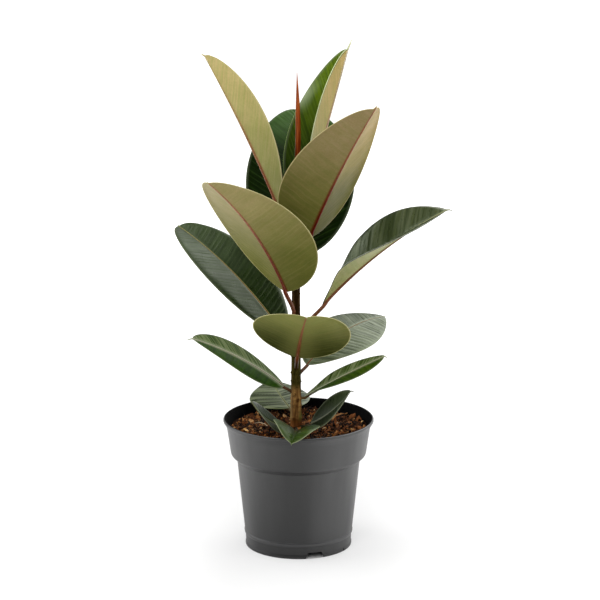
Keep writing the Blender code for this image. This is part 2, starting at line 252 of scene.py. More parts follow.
# a Geometry Nodes tree with named inputs, each (label, socket type, default)
def newTree(name, inputs):
    tree = bpy.data.node_groups.new(name, "GeometryNodeTree")
    tree.interface.new_socket("Geometry", in_out="INPUT", socket_type="NodeSocketGeometry")
    tree.interface.new_socket("Geometry", in_out="OUTPUT", socket_type="NodeSocketGeometry")
    for label, kind, value in inputs:
        socket = tree.interface.new_socket(label, in_out="INPUT", socket_type="NodeSocket" + kind)
        if value is not None:
            socket.default_value = value
    nodes = nodeTree(tree)
    given = nodes.add("NodeGroupInput").outputs
    nodes.add("NodeGroupOutput")
    return nodes, {socket.name: nodeValue(nodes, socket) for socket in given if socket.name}


# runs the tree on the host and gives a new object with the result as a plain mesh
def growMesh(name, host, tree, values):
    modifier = host.modifiers.new(tree.name, "NODES")
    modifier.node_group = tree
    for item in tree.interface.items_tree:
        if item.item_type == "SOCKET" and item.in_out == "INPUT" and item.name in values:
            modifier[item.identifier] = values[item.name]
    bpy.context.view_layer.update()
    graph = bpy.context.evaluated_depsgraph_get()
    mesh = bpy.data.meshes.new_from_object(
        host.evaluated_get(graph), preserve_all_data_layers=True, depsgraph=graph
    )
    host.modifiers.remove(modifier)
    bpy.data.objects.remove(host)
    mesh.name = name
    if mesh.materials and mesh.materials[0] is None:
        mesh.materials.pop(index=0)
    made = bpy.data.objects.new(name, mesh)
    bpy.context.scene.collection.objects.link(made)
    return made


# shades it smooth below an angle, and says what it rides on and replaces
def finishPiece(piece, node, degrees):
    piece.data.shade_smooth()
    piece.data.set_sharp_from_angle(angle=math.radians(degrees))
    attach(piece, "root")
    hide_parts(node)
    print("made", piece.name, len(piece.data.polygons), "faces")


# pot: a turned wall with a deep collar, drainage notches through its foot and holes through its floor

pot = dict(
    height=0.148, rim=0.085, wall=0.0012, lipWidth=0.003, lipDrop=0.003, lipRound=0.0009,
    flareOut=0.0012, flareRise=0.0035, collarTopRadius=0.0810, collarTop=0.1375,
    collarFootRadius=0.0768, collarFoot=0.109, stepRound=0.0014, bodyTopRadius=0.0697, bodyTop=0.1008,
    bodyFootRadius=0.0611, beadTop=0.0185, beadBottom=0.0145, beadProud=0.0006, foot=0.0603,
    footWaist=0.0598, footBand=0.0035, edgeRound=0.0006, ease=0.0005, floorTop=0.0135,
    hub=0.011, hubFlare=0.002, segments=224, cornerSteps=3, cornerShare=0.42, cornerReach=0.0011,
    notches=3, firstNotch=-72, notchHeight=0.007, notchBottom=0.023, notchTop=0.016,
    wedgeLength=0.016, wedgeBelow=0.001, nickLength=0.012, holeSides=28,
    holes=6, hole=0.004, holeRing=0.038, nickAngle=-32, nickWidth=0.0018, nickHeight=0.0034,
    plastic=(0.008, 0.0081, 0.0083), roughness=0.40,
    # the lip's top edge and the foot bead get a painted highlight, and the wall inside the lip a painted
    # shade
    highlightFrom=0.1468, highlightTint=(0.110, 0.111, 0.114), insideFrom=0.120, insideShadeTint=(0.0022, 0.0022, 0.0023),
)


# the closed section of the wall, from the middle of the underside out, up, over the lip and back in
def potSection():
    p = pot
    lip = p["height"] - p["lipDrop"]
    return [
        (0.0, 0.0), (p["hub"], 0.0), (p["hub"] + p["hubFlare"], p["floorTop"] - p["wall"]),
        (p["bodyFootRadius"] - 2 * p["wall"], p["floorTop"] - p["wall"]), (p["foot"] - 2 * p["wall"], 0.0),
        (p["foot"] - p["edgeRound"], 0.0), (p["foot"], p["edgeRound"]),
        (p["foot"], p["footBand"] - p["ease"]),
        (p["footWaist"], p["footBand"] + 2 * p["ease"]), (p["foot"], p["beadBottom"] - 2 * p["ease"]),
        (p["bodyFootRadius"] + p["beadProud"] / 2, p["beadBottom"] + p["ease"]),
        (p["bodyFootRadius"] + p["beadProud"], p["beadTop"] - 2 * p["ease"]),
        (p["bodyFootRadius"], p["beadTop"]), (p["bodyTopRadius"], p["bodyTop"]),
        (p["bodyTopRadius"] + p["stepRound"], p["bodyTop"] + p["stepRound"]),
        (p["collarFootRadius"] - p["stepRound"] / 2, p["collarFoot"] - 1.5 * p["stepRound"]),
        (p["collarFootRadius"], p["collarFoot"]), (p["collarTopRadius"], p["collarTop"]),
        (p["collarTopRadius"] + p["flareOut"], p["collarTop"] + p["flareRise"]),
        (p["rim"] - p["lipRound"], lip - p["lipRound"]), (p["rim"], lip),
        (p["rim"], p["height"] - p["lipRound"]), (p["rim"] - p["lipRound"], p["height"]),
        (p["rim"] - p["lipWidth"] + p["edgeRound"], p["height"]),
        (p["rim"] - p["lipWidth"], p["height"] - p["edgeRound"]),
        (p["collarTopRadius"] - p["wall"], p["collarTop"]),
        (p["collarFootRadius"] - p["wall"], p["collarFoot"]),
        (p["bodyTopRadius"] - p["wall"], p["bodyTop"]), (p["bodyFootRadius"] - p["wall"], p["floorTop"]),
        (p["hub"] + p["hubFlare"] - p["wall"], p["floorTop"]), (p["hub"] - p["wall"], p["wall"]),
        (0.0, p["wall"]),
    ]


# every corner of the section between its ends cut to a small arc
def roundedSection(points, steps):
    done = [points[0]]
    for before, corner, after in zip(points, points[1:], points[2:]):
        before, corner, after = Vector(before), Vector(corner), Vector(after)
        reach = min((before - corner).length, (after - corner).length) * pot["cornerShare"]
        reach = min(reach, pot["cornerReach"])
        start = corner + (before - corner).normalized() * reach
        end = corner + (after - corner).normalized() * reach
        for k in range(steps + 1):
            s = k / steps
            done.append(tuple(start * (1 - s) ** 2 + corner * 2 * s * (1 - s) + end * s * s))
    return done + [points[-1]]


def turnedPotTree():
    nodes, given = newTree("turned pot", [
        ("Section Points", "Int", 8), ("Segments", "Int", 64), ("Foot Radius", "Float", 0.06),
        ("Notches", "Int", 3), ("First Notch", "Float", 0.0), ("Notch Height", "Float", 0.007),
        ("Notch Bottom", "Float", 0.02), ("Notch Top", "Float", 0.015), ("Holes", "Int", 6),
        ("Hole Radius", "Float", 0.004), ("Hole Ring", "Float", 0.03), ("Hole Depth", "Float", 0.02),
        ("Nick Angle", "Float", 0.0), ("Nick Width", "Float", 0.003), ("Nick Height", "Float", 0.001),
        ("Plastic", "Material", None),
    ])
    # a flat grid, one column for each point of the section, wound round the axis
    grid = nodes.value("GeometryNodeMeshGrid", {
        "Size X": 1.0, "Size Y": 1.0, "Vertices X": given["Section Points"],
        "Vertices Y": given["Segments"] + 1,
    })
    place = nodes.value("GeometryNodeInputPosition")
    x, y, z = nodes.apart(place)
    point = ((x + 0.5) * (given["Section Points"] - 1)).maths("ROUND")
    turn = (y + 0.5) * (2 * math.pi)
    sample = nodes.add("GeometryNodeSampleIndex", {"Geometry": given["Geometry"], "Index": point},
                       data_type="FLOAT_VECTOR", domain="POINT")
    for socket in sample.inputs:
        if socket.name == "Value" and socket.type == "VECTOR":
            nodes.feed(socket, place)
    found = nodeValue(nodes, next(socket for socket in sample.outputs if socket.type == "VECTOR"))
    away, _, height = nodes.apart(found)
    onWall = nodes.vector(away * turn.maths("COSINE"), away * turn.maths("SINE"), height)
    wall = nodes.move(grid, Position=onWall)
    closed = nodes.value("GeometryNodeMergeByDistance", {"Geometry": wall, "Distance": 1e-6})

    # a wedge that stands on the foot ring: as wide as asked below, narrower at its top
    above = z + 0.5
    width = above.maths("MULTIPLY_ADD", given["Notch Top"] - given["Notch Bottom"], given["Notch Bottom"])
    tall = above.maths("MULTIPLY_ADD", given["Notch Height"] + pot["wedgeBelow"], -pot["wedgeBelow"])
    block = nodes.value("GeometryNodeMeshCube", {"Size": (1.0, 1.0, 1.0)})
    wedge = nodes.move(block, Position=nodes.vector(x * pot["wedgeLength"], y * width, tall))

    def spots(count, radius, first, what):
        angle = (nodes.value("GeometryNodeInputIndex") / count).maths("MULTIPLY_ADD", 2 * math.pi, first)
        at = nodes.vector(angle.maths("COSINE") * radius, angle.maths("SINE") * radius)
        points = nodes.value("GeometryNodePoints", {"Count": count, "Position": at})
        return nodes.value("GeometryNodeInstanceOnPoints", {
            "Points": points, "Instance": what, "Rotation": nodes.vector(z=angle),
        })

    drill = nodes.value("GeometryNodeMeshCylinder", {
        "Vertices": pot["holeSides"], "Radius": given["Hole Radius"], "Depth": given["Hole Depth"],
    })
    size = nodes.vector(pot["nickLength"], given["Nick Width"], given["Nick Height"] * 2.0)
    nick = nodes.value("GeometryNodeMeshCube", {"Size": size})
    cutters = nodes.join([
        spots(given["Notches"], given["Foot Radius"], given["First Notch"], wedge),
        spots(given["Holes"], given["Hole Ring"], given["First Notch"], drill),
        spots(1, given["Foot Radius"], given["Nick Angle"], nick),
    ])
    inputs = {"Mesh 1": closed, "Mesh 2": nodes.realize(cutters)}
    cut = nodes.value("GeometryNodeMeshBoolean", inputs, operation="DIFFERENCE")
    nodes.finish(nodes.coat(nodes.realize(cut), given["Plastic"]))
    return nodes.tree


def addGrain(nodes, place):
    nodes.bump(nodes.noise(place, 900.0, 2.0, 0.6), 0.00012, 0.35)


def potPlastic():
    made, nodes = newMaterial("darkGreyPlastic", pot["plastic"], pot["roughness"], 0.68)
    place = nodes.place()
    base = nodes.noise(place, 26.0, 4.0, 0.6).mix((0.0065, 0.0066, 0.0068), (0.0100, 0.0101, 0.0103))
    rubbed = nodes.noise(nodes.stretched(place, (60.0, 60.0, 7.0)), 1.0, 4.0, 0.55)
    height = nodes.apart(place)[2]
    # painted highlight: the top of the lip and a band on the foot bead are painted paler, for the light that
    # their edges catch
    edge = height.fade(pot["highlightFrom"], pot["height"])
    overFoot = height.fade(pot["beadBottom"] - 0.0005, pot["beadBottom"] + 0.0010)
    underTop = height.fade(pot["beadTop"] + 0.0010, pot["beadTop"] - 0.0005, 0.0, 0.25)
    paintedHighlight = edge.maths("MAXIMUM", overFoot * underTop)
    nodes.paint("Base Color", paintedHighlight.mix(base, pot["highlightTint"]))
    nodes.paint("Roughness", rubbed.fade(0.3, 0.75, 0.40, 0.50))
    addGrain(nodes, place)
    return made


# painted shade: the wall inside the lip and the inner part of the lip's top get a darker, less glossy
# plastic, for the shade inside the pot
def shadeInside(made):
    plain, nodes = newMaterial("insidePlastic", pot["insideShadeTint"], 0.80, 0.10)
    addGrain(nodes, nodes.place())
    made.data.materials.append(plain)
    shadeSlot = len(made.data.materials) - 1
    for face in made.data.polygons:
        away = math.hypot(face.center.x, face.center.y)
        inwards = face.normal.x * face.center.x + face.normal.y * face.center.y < -0.3 * away
        onLip = face.center.z > pot["height"] - pot["edgeRound"] and away < pot["rim"] - pot["lipWidth"] / 2
        if face.center.z > pot["insideFrom"] and (inwards or onLip):
            face.material_index = shadeSlot


def makePot():
    section = roundedSection(potSection(), pot["cornerSteps"])
    host = newObject("potSection", [(radius, 0.0, height) for radius, height in reversed(section)], [])
    made = growMesh("potWall", host, turnedPotTree(), {
        "Section Points": len(section), "Segments": pot["segments"], "Foot Radius": pot["foot"],
        "Notches": pot["notches"], "First Notch": math.radians(pot["firstNotch"]),
        "Notch Height": pot["notchHeight"], "Notch Bottom": pot["notchBottom"], "Notch Top": pot["notchTop"],
        "Holes": pot["holes"], "Hole Radius": pot["hole"], "Hole Ring": pot["holeRing"],
        "Hole Depth": 3 * pot["floorTop"], "Nick Angle": math.radians(pot["nickAngle"]),
        "Nick Width": pot["nickWidth"], "Nick Height": pot["nickHeight"], "Plastic": potPlastic(),
    })
    shadeInside(made)
    finishPiece(made, "nursery_pot", 32)


# soil: an uneven bed with crumbs, bark chips and coir fibres strewn over it
# loose: pieces that lie on top, each from x, y to x, y, with its bend, width, thickness and tint

soil = dict(
    level=0.1352, uneven=0.0014, clump=0.0034, clumpSize=0.015, reach=0.0792, rings=70, segments=220,
    wallInside=((0.0789, 0.126), (0.0750, 0.111), (0.0676, 0.1000), (0.0593, 0.0141)),
    crumbs=6400, chips=300, fibres=1100, splinters=30, seed=7, looseAbove=0.0032,
    loose=(
        (-0.0506, 0.0151, -0.0350, 0.0048, 0.0022, 0.0012, 0.0007, 1.00),
        (-0.0618, -0.0125, -0.0566, -0.0205, 0.0004, 0.0036, 0.0012, 0.92),
        (0.0385, 0.0262, 0.0560, 0.0520, 0.0030, 0.0030, 0.0013, 0.74),
        (0.0423, 0.0030, 0.0448, 0.0045, 0.0002, 0.0011, 0.0009, 1.00),
        (0.0276, -0.0140, 0.0312, -0.0118, 0.0004, 0.0018, 0.0010, 0.95),
        (0.0585, -0.0180, 0.0618, -0.0152, 0.0004, 0.0016, 0.0009, 0.93),
        (0.0712, 0.0120, 0.0738, 0.0165, 0.0003, 0.0016, 0.0009, 0.95),
    ),
)


def soilHeight(x, y):
    radius, angle = math.hypot(x, y), math.atan2(y, x)
    waves = math.sin(3 * angle + 40 * radius) + 0.7 * math.sin(5 * angle - 90 * radius + 1.3)
    waves += 0.5 * math.sin(2 * angle + 150 * radius + 1.57)
    lumps = noise.noise(Vector((x, y, 0.3)) / soil["clumpSize"])
    fine = noise.noise(Vector((x, y, 0.7)) / (soil["clumpSize"] * 0.28))
    return soil["level"] + soil["uneven"] * waves / 2.2 + soil["clump"] * (lumps + 0.4 * fine)


# its top alone to strew pieces on, or the closed body that fills the pot
def soilBed(closed):
    count = soil["segments"]
    outline = [(soil["reach"] * ring / soil["rings"], None) for ring in range(1, soil["rings"] + 1)]
    if closed:
        outline += list(soil["wallInside"])
    vertices = [Vector((0, 0, soilHeight(0, 0)))]
    for radius, height in outline:
        for a in around(count):
            x, y = radius * math.cos(a), radius * math.sin(a)
            vertices.append(Vector((x, y, soilHeight(x, y) if height is None else height)))
    last = 1 + (len(outline) - 1) * count
    if closed:
        vertices.append(Vector((0, 0, outline[-1][1])))
    faces = []
    for i in range(count):
        j = (i + 1) % count
        faces.append((0, 1 + i, 1 + j))
        for ring in range(len(outline) - 1):
            low = 1 + ring * count
            faces.append((low + i, low + count + i, low + count + j, low + j))
        if closed:
            faces.append((last + j, last + i, len(vertices) - 1))
    return newObject("soilBed", vertices, faces)


# a flat curved sliver of bark lying on the soil
def looseSliver(x0, y0, x1, y1, bend, width, thick):
    start, end = Vector((x0, y0, 0)), Vector((x1, y1, 0))
    ahead = (end - start).normalized()
    aside = Vector((-ahead.y, ahead.x, 0))
    steps, rings = 14, []
    for k in range(steps + 1):
        s = k / steps
        centre = start.lerp(end, s) + aside * bend * math.sin(math.pi * s)
        centre.z = soilHeight(centre.x, centre.y) + soil["looseAbove"] + 0.3 * bend * math.sin(math.pi * s)
        taper = 0.35 + 0.65 * math.sin(math.pi * (0.08 + 0.84 * s)) ** 0.6
        jag = 1 + 0.25 * noise.noise(centre * 900)
        rings.append([
            centre + aside * width / 2 * taper * jag * math.cos(a)
            + Vector((0, 0, thick / 2 * taper * math.sin(a)))
            for a in around(8)
        ])
    return skinOver(rings)


def loosePieces():
    vertices, faces, tints = [], [], []
    for *sizes, tint in soil["loose"]:
        points, sides = looseSliver(*sizes)
        faces += [tuple(index + len(vertices) for index in side) for side in sides]
        vertices += points
        tints += [tint] * len(points)
    made = newObject("looseBark", vertices, faces)
    addAttribute(made, "tint", tints)
    return made


# an angular lump about one unit across; flat squashes it and long stretches it
def lump(name, seed, flat, long, divisions):
    bpy.ops.mesh.primitive_ico_sphere_add(subdivisions=divisions, radius=0.5)
    made = bpy.context.object
    made.name = name
    shift = Vector((seed * 7.3, seed * 3.1, seed * 5.7))
    for vertex in made.data.vertices:
        push = 1 + 0.55 * noise.noise(vertex.co * 2.2 + shift)
        vertex.co = Vector((vertex.co.x * long, vertex.co.y, vertex.co.z * flat)) * push
    return made


# a thin strand with a bend or two, one unit long
def strand(name, seed, thick):
    shape = random.Random(seed)
    phase, sway = shape.uniform(0, 6), shape.uniform(0.04, 0.16)
    rings = []
    for k in range(6):
        s = k / 5
        centre = Vector((s - 0.5, sway * math.sin(4 * s + phase), sway * math.cos(3 * s + phase)))
        radius = thick * (0.45 + 0.55 * math.sin(math.pi * (0.1 + 0.8 * s)))
        rings.append([centre + Vector((0, math.cos(a), math.sin(a))) * radius for a in around(4)])
    return newObject(name, *skinOver(rings))


def asCollection(name, members):
    group = bpy.data.collections.new(name)
    for member in members:
        for home in list(member.users_collection):
            home.objects.unlink(member)
        group.objects.link(member)
    return group


def removeGroup(group):
    for member in list(group.objects):
        bpy.data.objects.remove(member)
    bpy.data.collections.remove(group)


def strewTree():
    nodes, given = newTree("strewn pieces", [
        ("Grains", "Collection", None), ("Count", "Float", 1000.0), ("Reach", "Float", 0.07),
        ("Smallest", "Float", 0.001), ("Largest", "Float", 0.004), ("Tilt", "Float", 3.0),
        ("Lift", "Float", 0.0), ("Seed", "Int", 0), ("Surface", "Material", None),
    ])
    flat = nodes.vectorMaths("MULTIPLY", {0: nodes.value("GeometryNodeInputPosition"), 1: (1.0, 1.0, 0.0)})
    away = nodes.vectorMaths("LENGTH", {0: flat})
    inside = nodes.value("FunctionNodeCompare", {0: away, 1: given["Reach"]}, operation="LESS_THAN")
    density = given["Count"] / (given["Reach"].maths("POWER", 2.0) * math.pi)
    spread = nodes.value("GeometryNodeDistributePointsOnFaces", {
        "Mesh": given["Geometry"], "Selection": inside, "Density": density, "Seed": given["Seed"],
    })
    grains = nodes.value("GeometryNodeCollectionInfo", {
        "Collection": given["Grains"], "Separate Children": True, "Reset Children": True,
    })
    turn = nodes.vector(
        nodes.random(-1.0, 1.0, 11) * given["Tilt"], nodes.random(-1.0, 1.0, 12) * given["Tilt"],
        nodes.random(0.0, 2 * math.pi, 13),
    )
    share = nodes.random(0.0, 1.0, 14).maths("POWER", 2.0)
    size = share.maths("MULTIPLY_ADD", given["Largest"] - given["Smallest"], given["Smallest"])
    strewn = nodes.value("GeometryNodeInstanceOnPoints", {
        "Points": spread, "Instance": grains, "Pick Instance": True, "Rotation": turn, "Scale": size,
    })
    moved = nodes.move(strewn, Offset=nodes.vector(z=nodes.random(-0.3, 1.0, 15) * given["Lift"]))
    tinted = nodes.store(moved, "tint", nodes.random(0.0, 1.0, 16), "INSTANCE")
    nodes.finish(nodes.coat(nodes.realize(tinted), given["Surface"]))
    return nodes.tree


# stops: place and colour along the ramp that the random tint of each grain picks from
def grainMaterial(name, stops, roughness, mottle):
    made, nodes = newMaterial(name, stops[0][1:], roughness, 0.35)
    place = nodes.place()
    patch = nodes.noise(place, mottle, 4.0, 0.65).maths("MULTIPLY_ADD", 0.5, -0.25)
    tone = nodes.read("tint").maths("ADD", patch, clamp=True)
    ramp = nodes.add("ShaderNodeValToRGB", {0: tone})
    elements = ramp.color_ramp.elements
    elements[0].position, elements[1].position = stops[0][0], stops[-1][0]
    for stop in stops[1:-1]:
        elements.new(stop[0])
    for element, stop in zip(elements, stops):
        element.color = (*stop[1:], 1.0)
    nodes.paint("Base Color", nodeValue(nodes, ramp.outputs[0]))
    nodes.bump(nodes.noise(place, mottle * 3.5, 4.0, 0.7), 0.0004, 0.8)
    return made


def peatMaterial():
    made, nodes = newMaterial("darkPeat", (0.02, 0.008, 0.004), 0.95, 0.2)
    place = nodes.place()
    patch = nodes.noise(place, 260.0, 5.0, 0.7)
    nodes.paint("Base Color", patch.mix((0.004, 0.002, 0.001), (0.050, 0.018, 0.007)))
    nodes.bump(nodes.noise(place, 500.0, 5.0, 0.7), 0.0012)
    return made


def makeSoil():
    tree = strewTree()
    crumbly = grainMaterial("peatAndBark", [
        (0.0, 0.002, 0.001, 0.001), (0.40, 0.018, 0.005, 0.001), (0.64, 0.115, 0.032, 0.007),
        (0.84, 0.270, 0.088, 0.020), (0.96, 0.460, 0.190, 0.052), (1.0, 0.640, 0.380, 0.170),
    ], 0.85, 420.0)
    fibrous = grainMaterial("coirFibre", [
        (0.0, 0.030, 0.009, 0.002), (0.50, 0.160, 0.052, 0.014),
        (0.85, 0.380, 0.160, 0.048), (1.0, 0.660, 0.400, 0.180),
    ], 0.75, 300.0)
    chipped = grainMaterial("looseBarkChip", [
        (0.0, 0.060, 0.020, 0.007), (0.62, 0.200, 0.080, 0.028), (0.80, 0.450, 0.200, 0.050),
        (0.92, 0.760, 0.420, 0.110), (1.0, 0.820, 0.640, 0.430),
    ], 0.75, 300.0)
    crumbs = [lump(f"crumb{k}", k + 1, 0.75, 1.25, 1) for k in range(8)]
    chips = [lump(f"chip{k}", k + 21, 0.30, 1.7, 2) for k in range(6)]
    fibres = [strand(f"fibre{k}", k, 0.022) for k in range(7)]
    splinters = [strand(f"splinter{k}", k + 40, 0.055) for k in range(4)]
    # how far each stays from the edge of the bed, its sizes, and how much it tilts and rises
    for name, grains, key, inset, smallest, largest, tilt, lift, cover in (
        ("soilCrumbs", crumbs, "crumbs", 0.0025, 0.0011, 0.0040, 3.1, 0.0022, crumbly),
        ("barkChips", chips, "chips", 0.0045, 0.0028, 0.0072, 0.9, 0.0030, crumbly),
        ("coirFibres", fibres, "fibres", 0.0070, 0.0045, 0.0115, 0.45, 0.0042, fibrous),
        ("woodSplinters", splinters, "splinters", 0.0120, 0.0090, 0.0170, 0.25, 0.0050, fibrous),
    ):
        group = asCollection(key, grains)
        made = growMesh(name, soilBed(False), tree, {
            "Grains": group, "Count": float(soil[key]), "Reach": soil["reach"] - inset, "Smallest": smallest,
            "Largest": largest, "Tilt": tilt, "Lift": lift, "Seed": soil["seed"] + len(name),
            "Surface": cover,
        })
        removeGroup(group)
        finishPiece(made, "potting_soil", 50)
    for made, cover in ((soilBed(True), peatMaterial()), (loosePieces(), chipped)):
        made.data.materials.append(cover)
        finishPiece(made, "potting_soil", 50)


# stem: a tapering rod with a ring scar below each leaf and small raised pores

stem = dict(
    x=-0.0028,
    taper=(
        (0.085, 0.0050), (0.120, 0.0062), (0.137, 0.0066), (0.155, 0.0063), (0.185, 0.0056),
        (0.230, 0.0051), (0.300, 0.0046), (0.350, 0.0044), (0.392, 0.0040),
    ),
    scarProud=0.0004, scarHalf=0.0030, scarFrom=145, scarTilt=0.16, scarWide=0.00035, scarTall=0.00045,
    scarSides=48, sides=72, spacing=0.0010, furrow=0.0005, poreDensity=260 / 0.011, poreSize=0.0009, seed=5,
)


def stemRadius(height):
    radius = readTable(stem["taper"], height)
    for leaf in leaves:
        away = (height - leaf["node"] / 1000 + stem["scarHalf"]) / stem["scarHalf"]
        if abs(away) < 1 and leaf["node"] > stem["scarFrom"]:
            radius += stem["scarProud"] * (1 + math.cos(math.pi * away)) / 2
    return radius


def barkTree():
    nodes, given = newTree("bark with scars and pores", [
        ("Furrow", "Float", 0.0009), ("Pores", "Float", 100.0), ("Pore Size", "Float", 0.0008),
        ("Seed", "Int", 3), ("Bark", "Material", None), ("Scars", "Collection", None),
    ])
    place = nodes.value("GeometryNodeInputPosition")
    rough = nodes.noise(nodes.vectorMaths("MULTIPLY", {0: place, 1: (520.0, 520.0, 60.0)}), 1.0)
    normal = nodes.value("GeometryNodeInputNormal")
    push = nodes.vectorMaths("SCALE", {0: normal, "Scale": (rough - 0.5) * given["Furrow"]})
    barked = nodes.move(given["Geometry"], Offset=push)
    spread = nodes.add("GeometryNodeDistributePointsOnFaces", {
        "Mesh": barked, "Density": given["Pores"], "Seed": given["Seed"],
    }).outputs
    wide = nodes.random(0.5, 1.3, 21) * given["Pore Size"]
    pores = nodes.value("GeometryNodeInstanceOnPoints", {
        "Points": nodeValue(nodes, spread[0]), "Rotation": nodeValue(nodes, spread["Rotation"]),
        "Instance": nodes.value("GeometryNodeMeshIcoSphere", {"Radius": 0.5, "Subdivisions": 2}),
        "Scale": nodes.vector(wide * 0.8, wide * 1.3, wide * 0.45),
    })
    scars = nodes.value("GeometryNodeCollectionInfo", {"Collection": given["Scars"]})
    nodes.finish(nodes.coat(nodes.realize(nodes.join([barked, pores, scars])), given["Bark"]))
    return nodes.tree


# streaky bark whose colour changes up the stem: reddish in the soil, tan and green on the right at its foot,
# with a painted highlight of paler tan down its left side, dark green above that and red-brown higher up
def barkMaterial():
    made, nodes = newMaterial("youngBark", (0.14, 0.07, 0.03), 0.75, 0.08)
    nodes.paint("Specular Tint", (1.0, 0.85, 0.6))
    place = nodes.place()
    x, _, height = nodes.apart(place)
    streak = nodes.noise(nodes.stretched(place, (160.0, 160.0, 30.0)), 1.0, 3.0, 0.55)
    blotch = nodes.noise(place, 110.0, 3.0, 0.6)
    tan = streak.fade(0.36, 0.66).mix((0.090, 0.034, 0.008), (0.330, 0.180, 0.055))
    blotched = blotch.fade(0.50, 0.62, 0.0, 0.85).mix(tan, (0.050, 0.018, 0.003))
    # painted highlight: the left side is painted a paler tan, for the light from the left
    low = x.fade(-0.0055, -0.0085, 0.0, 0.5).mix(blotched, (0.36, 0.24, 0.10))
    greenSide = blotch.maths("MULTIPLY_ADD", 0.006, x).fade(0.0020, 0.0050, 0.0, 0.85)
    green = greenSide.mix(low, (0.105, 0.105, 0.020))
    foot = height.fade(0.162, 0.150).mix(low, green)
    reddish = streak.fade(0.4, 0.65).mix((0.070, 0.022, 0.004), (0.190, 0.072, 0.018))
    ground = height.fade(0.152, 0.143).mix(foot, reddish)
    darkGreen = streak.fade(0.38, 0.64).mix((0.014, 0.013, 0.001), (0.060, 0.046, 0.008))
    middle = height.fade(0.178, 0.190).mix(ground, darkGreen)
    redBrown = streak.fade(0.38, 0.64).mix((0.018, 0.007, 0.001), (0.090, 0.046, 0.014))
    nodes.paint("Base Color", height.fade(0.215, 0.240).mix(middle, redBrown))
    nodes.bump(streak, 0.0006, 0.7)
    return made


# the ring scar below a leaf, tilted towards it
def leafScar(leaf):
    z = leaf["node"] / 1000 - stem["scarHalf"]
    heading = math.radians(leaf["heading"])
    tilt = Matrix.Rotation(stem["scarTilt"], 4, Vector((-math.sin(heading), math.cos(heading), 0)))
    loop = []
    for a in around(stem["scarSides"]):
        out = Vector((math.cos(a), math.sin(a), 0))
        centre = tilt @ (out * (stemRadius(z) + 0.0001))
        loop.append([
            centre + out * stem["scarWide"] * math.cos(b) + Vector((0, 0, stem["scarTall"] * math.sin(b)))
            for b in around(6)
        ])
    vertices, faces = skinOver(loop, looped=True)
    return newObject(f"scar{leaf['node']}", [v + Vector((stem["x"], 0, z)) for v in vertices], faces)


def makeStem():
    low, high = stem["taper"][0][0], stem["taper"][-1][0]
    levels = int((high - low) / stem["spacing"])
    rings = []
    for k in range(levels + 1):
        z = low + (high - low) * k / levels
        radius = stemRadius(z)
        rings.append([
            Vector((stem["x"] + radius * math.cos(a), radius * math.sin(a), z)) for a in around(stem["sides"])
        ])
    group = asCollection("scars", [leafScar(leaf) for leaf in leaves if leaf["node"] > stem["scarFrom"]])
    made = growMesh("stemBark", newObject("stemRod", *skinOver(rings)), barkTree(), {
        "Furrow": stem["furrow"], "Pores": stem["poreDensity"], "Pore Size": stem["poreSize"],
        "Seed": stem["seed"], "Bark": barkMaterial(), "Scars": group,
    })
    removeGroup(group)
    finishPiece(made, "stem", 60)


# bud sheath: the pointed red cover of the next leaf

sheath = dict(
    taper=(
        (0.3923, 0.0038), (0.420, 0.0034), (0.455, 0.0030), (0.490, 0.0027),
        (0.508, 0.0022), (0.521, 0.0015), (0.533, 0.0008), (0.5425, 0.0002),
    ),
    lean=0.0012, bow=0.0016, sides=40, levels=150, seamProud=0.10, seamSharp=24, seamTurns=0.55,
    seamStart=-1.9,
)


def sheathMaterial():
    made, nodes = newMaterial("redSheath", (0.30, 0.06, 0.02), 0.42, 0.28)
    place = nodes.place()
    lines = nodes.noise(nodes.stretched(place, (900.0, 900.0, 40.0)), 1.0, 3.0, 0.6)
    lined = lines.fade(0.35, 0.65)
    low = lined.mix((0.120, 0.014, 0.0004), (0.260, 0.038, 0.003))
    high = lined.mix((0.270, 0.036, 0.002), (0.560, 0.130, 0.020))
    nodes.paint("Base Color", nodes.apart(place)[2].fade(0.43, 0.51).mix(low, high))
    nodes.bump(lines, 0.0003, 0.6)
    return made


def makeSheath():
    low, high = sheath["taper"][0][0], sheath["taper"][-1][0]
    rings = []
    for k in range(sheath["levels"] + 1):
        share = k / sheath["levels"]
        z = low + (high - low) * share
        middle = stem["x"] + sheath["lean"] * share + sheath["bow"] * math.sin(math.pi * share)
        seam = sheath["seamTurns"] * 2 * math.pi * share + sheath["seamStart"]
        ring = []
        for a in around(sheath["sides"]):
            near = math.cos((a - seam) / 2) ** 2
            radius = readTable(sheath["taper"], z) * (1 + sheath["seamProud"] * near ** sheath["seamSharp"])
            ring.append(Vector((middle + radius * math.cos(a), radius * math.sin(a), z)))
        rings.append(ring)
    made = newObject("budSheath", *skinOver(rings))
    made.data.materials.append(sheathMaterial())
    finishPiece(made, "bud_sheath", 60)


# leaves: one rule for all, in metres but for its tip, and one line of sizes for each, in millimetres.
# Angles are in degrees. heading is the compass of the leaf, 0 at +X and 90 at the back, and sweep what it
# turns by towards the tip. rise is its climb, arch what that changes by, hook what it bends near the tip,
# roll and twist its turn about the midrib. fold raises the halves, opening adds to it towards the tip and
# cup towards the margin. skew moves the widest place, full makes the outline rounder, neck narrows the
# base, droop bends the margin down, and tip is the length and width of the drawn-out point, with what it
# turns and bends by. lean is the slant of the side veins.

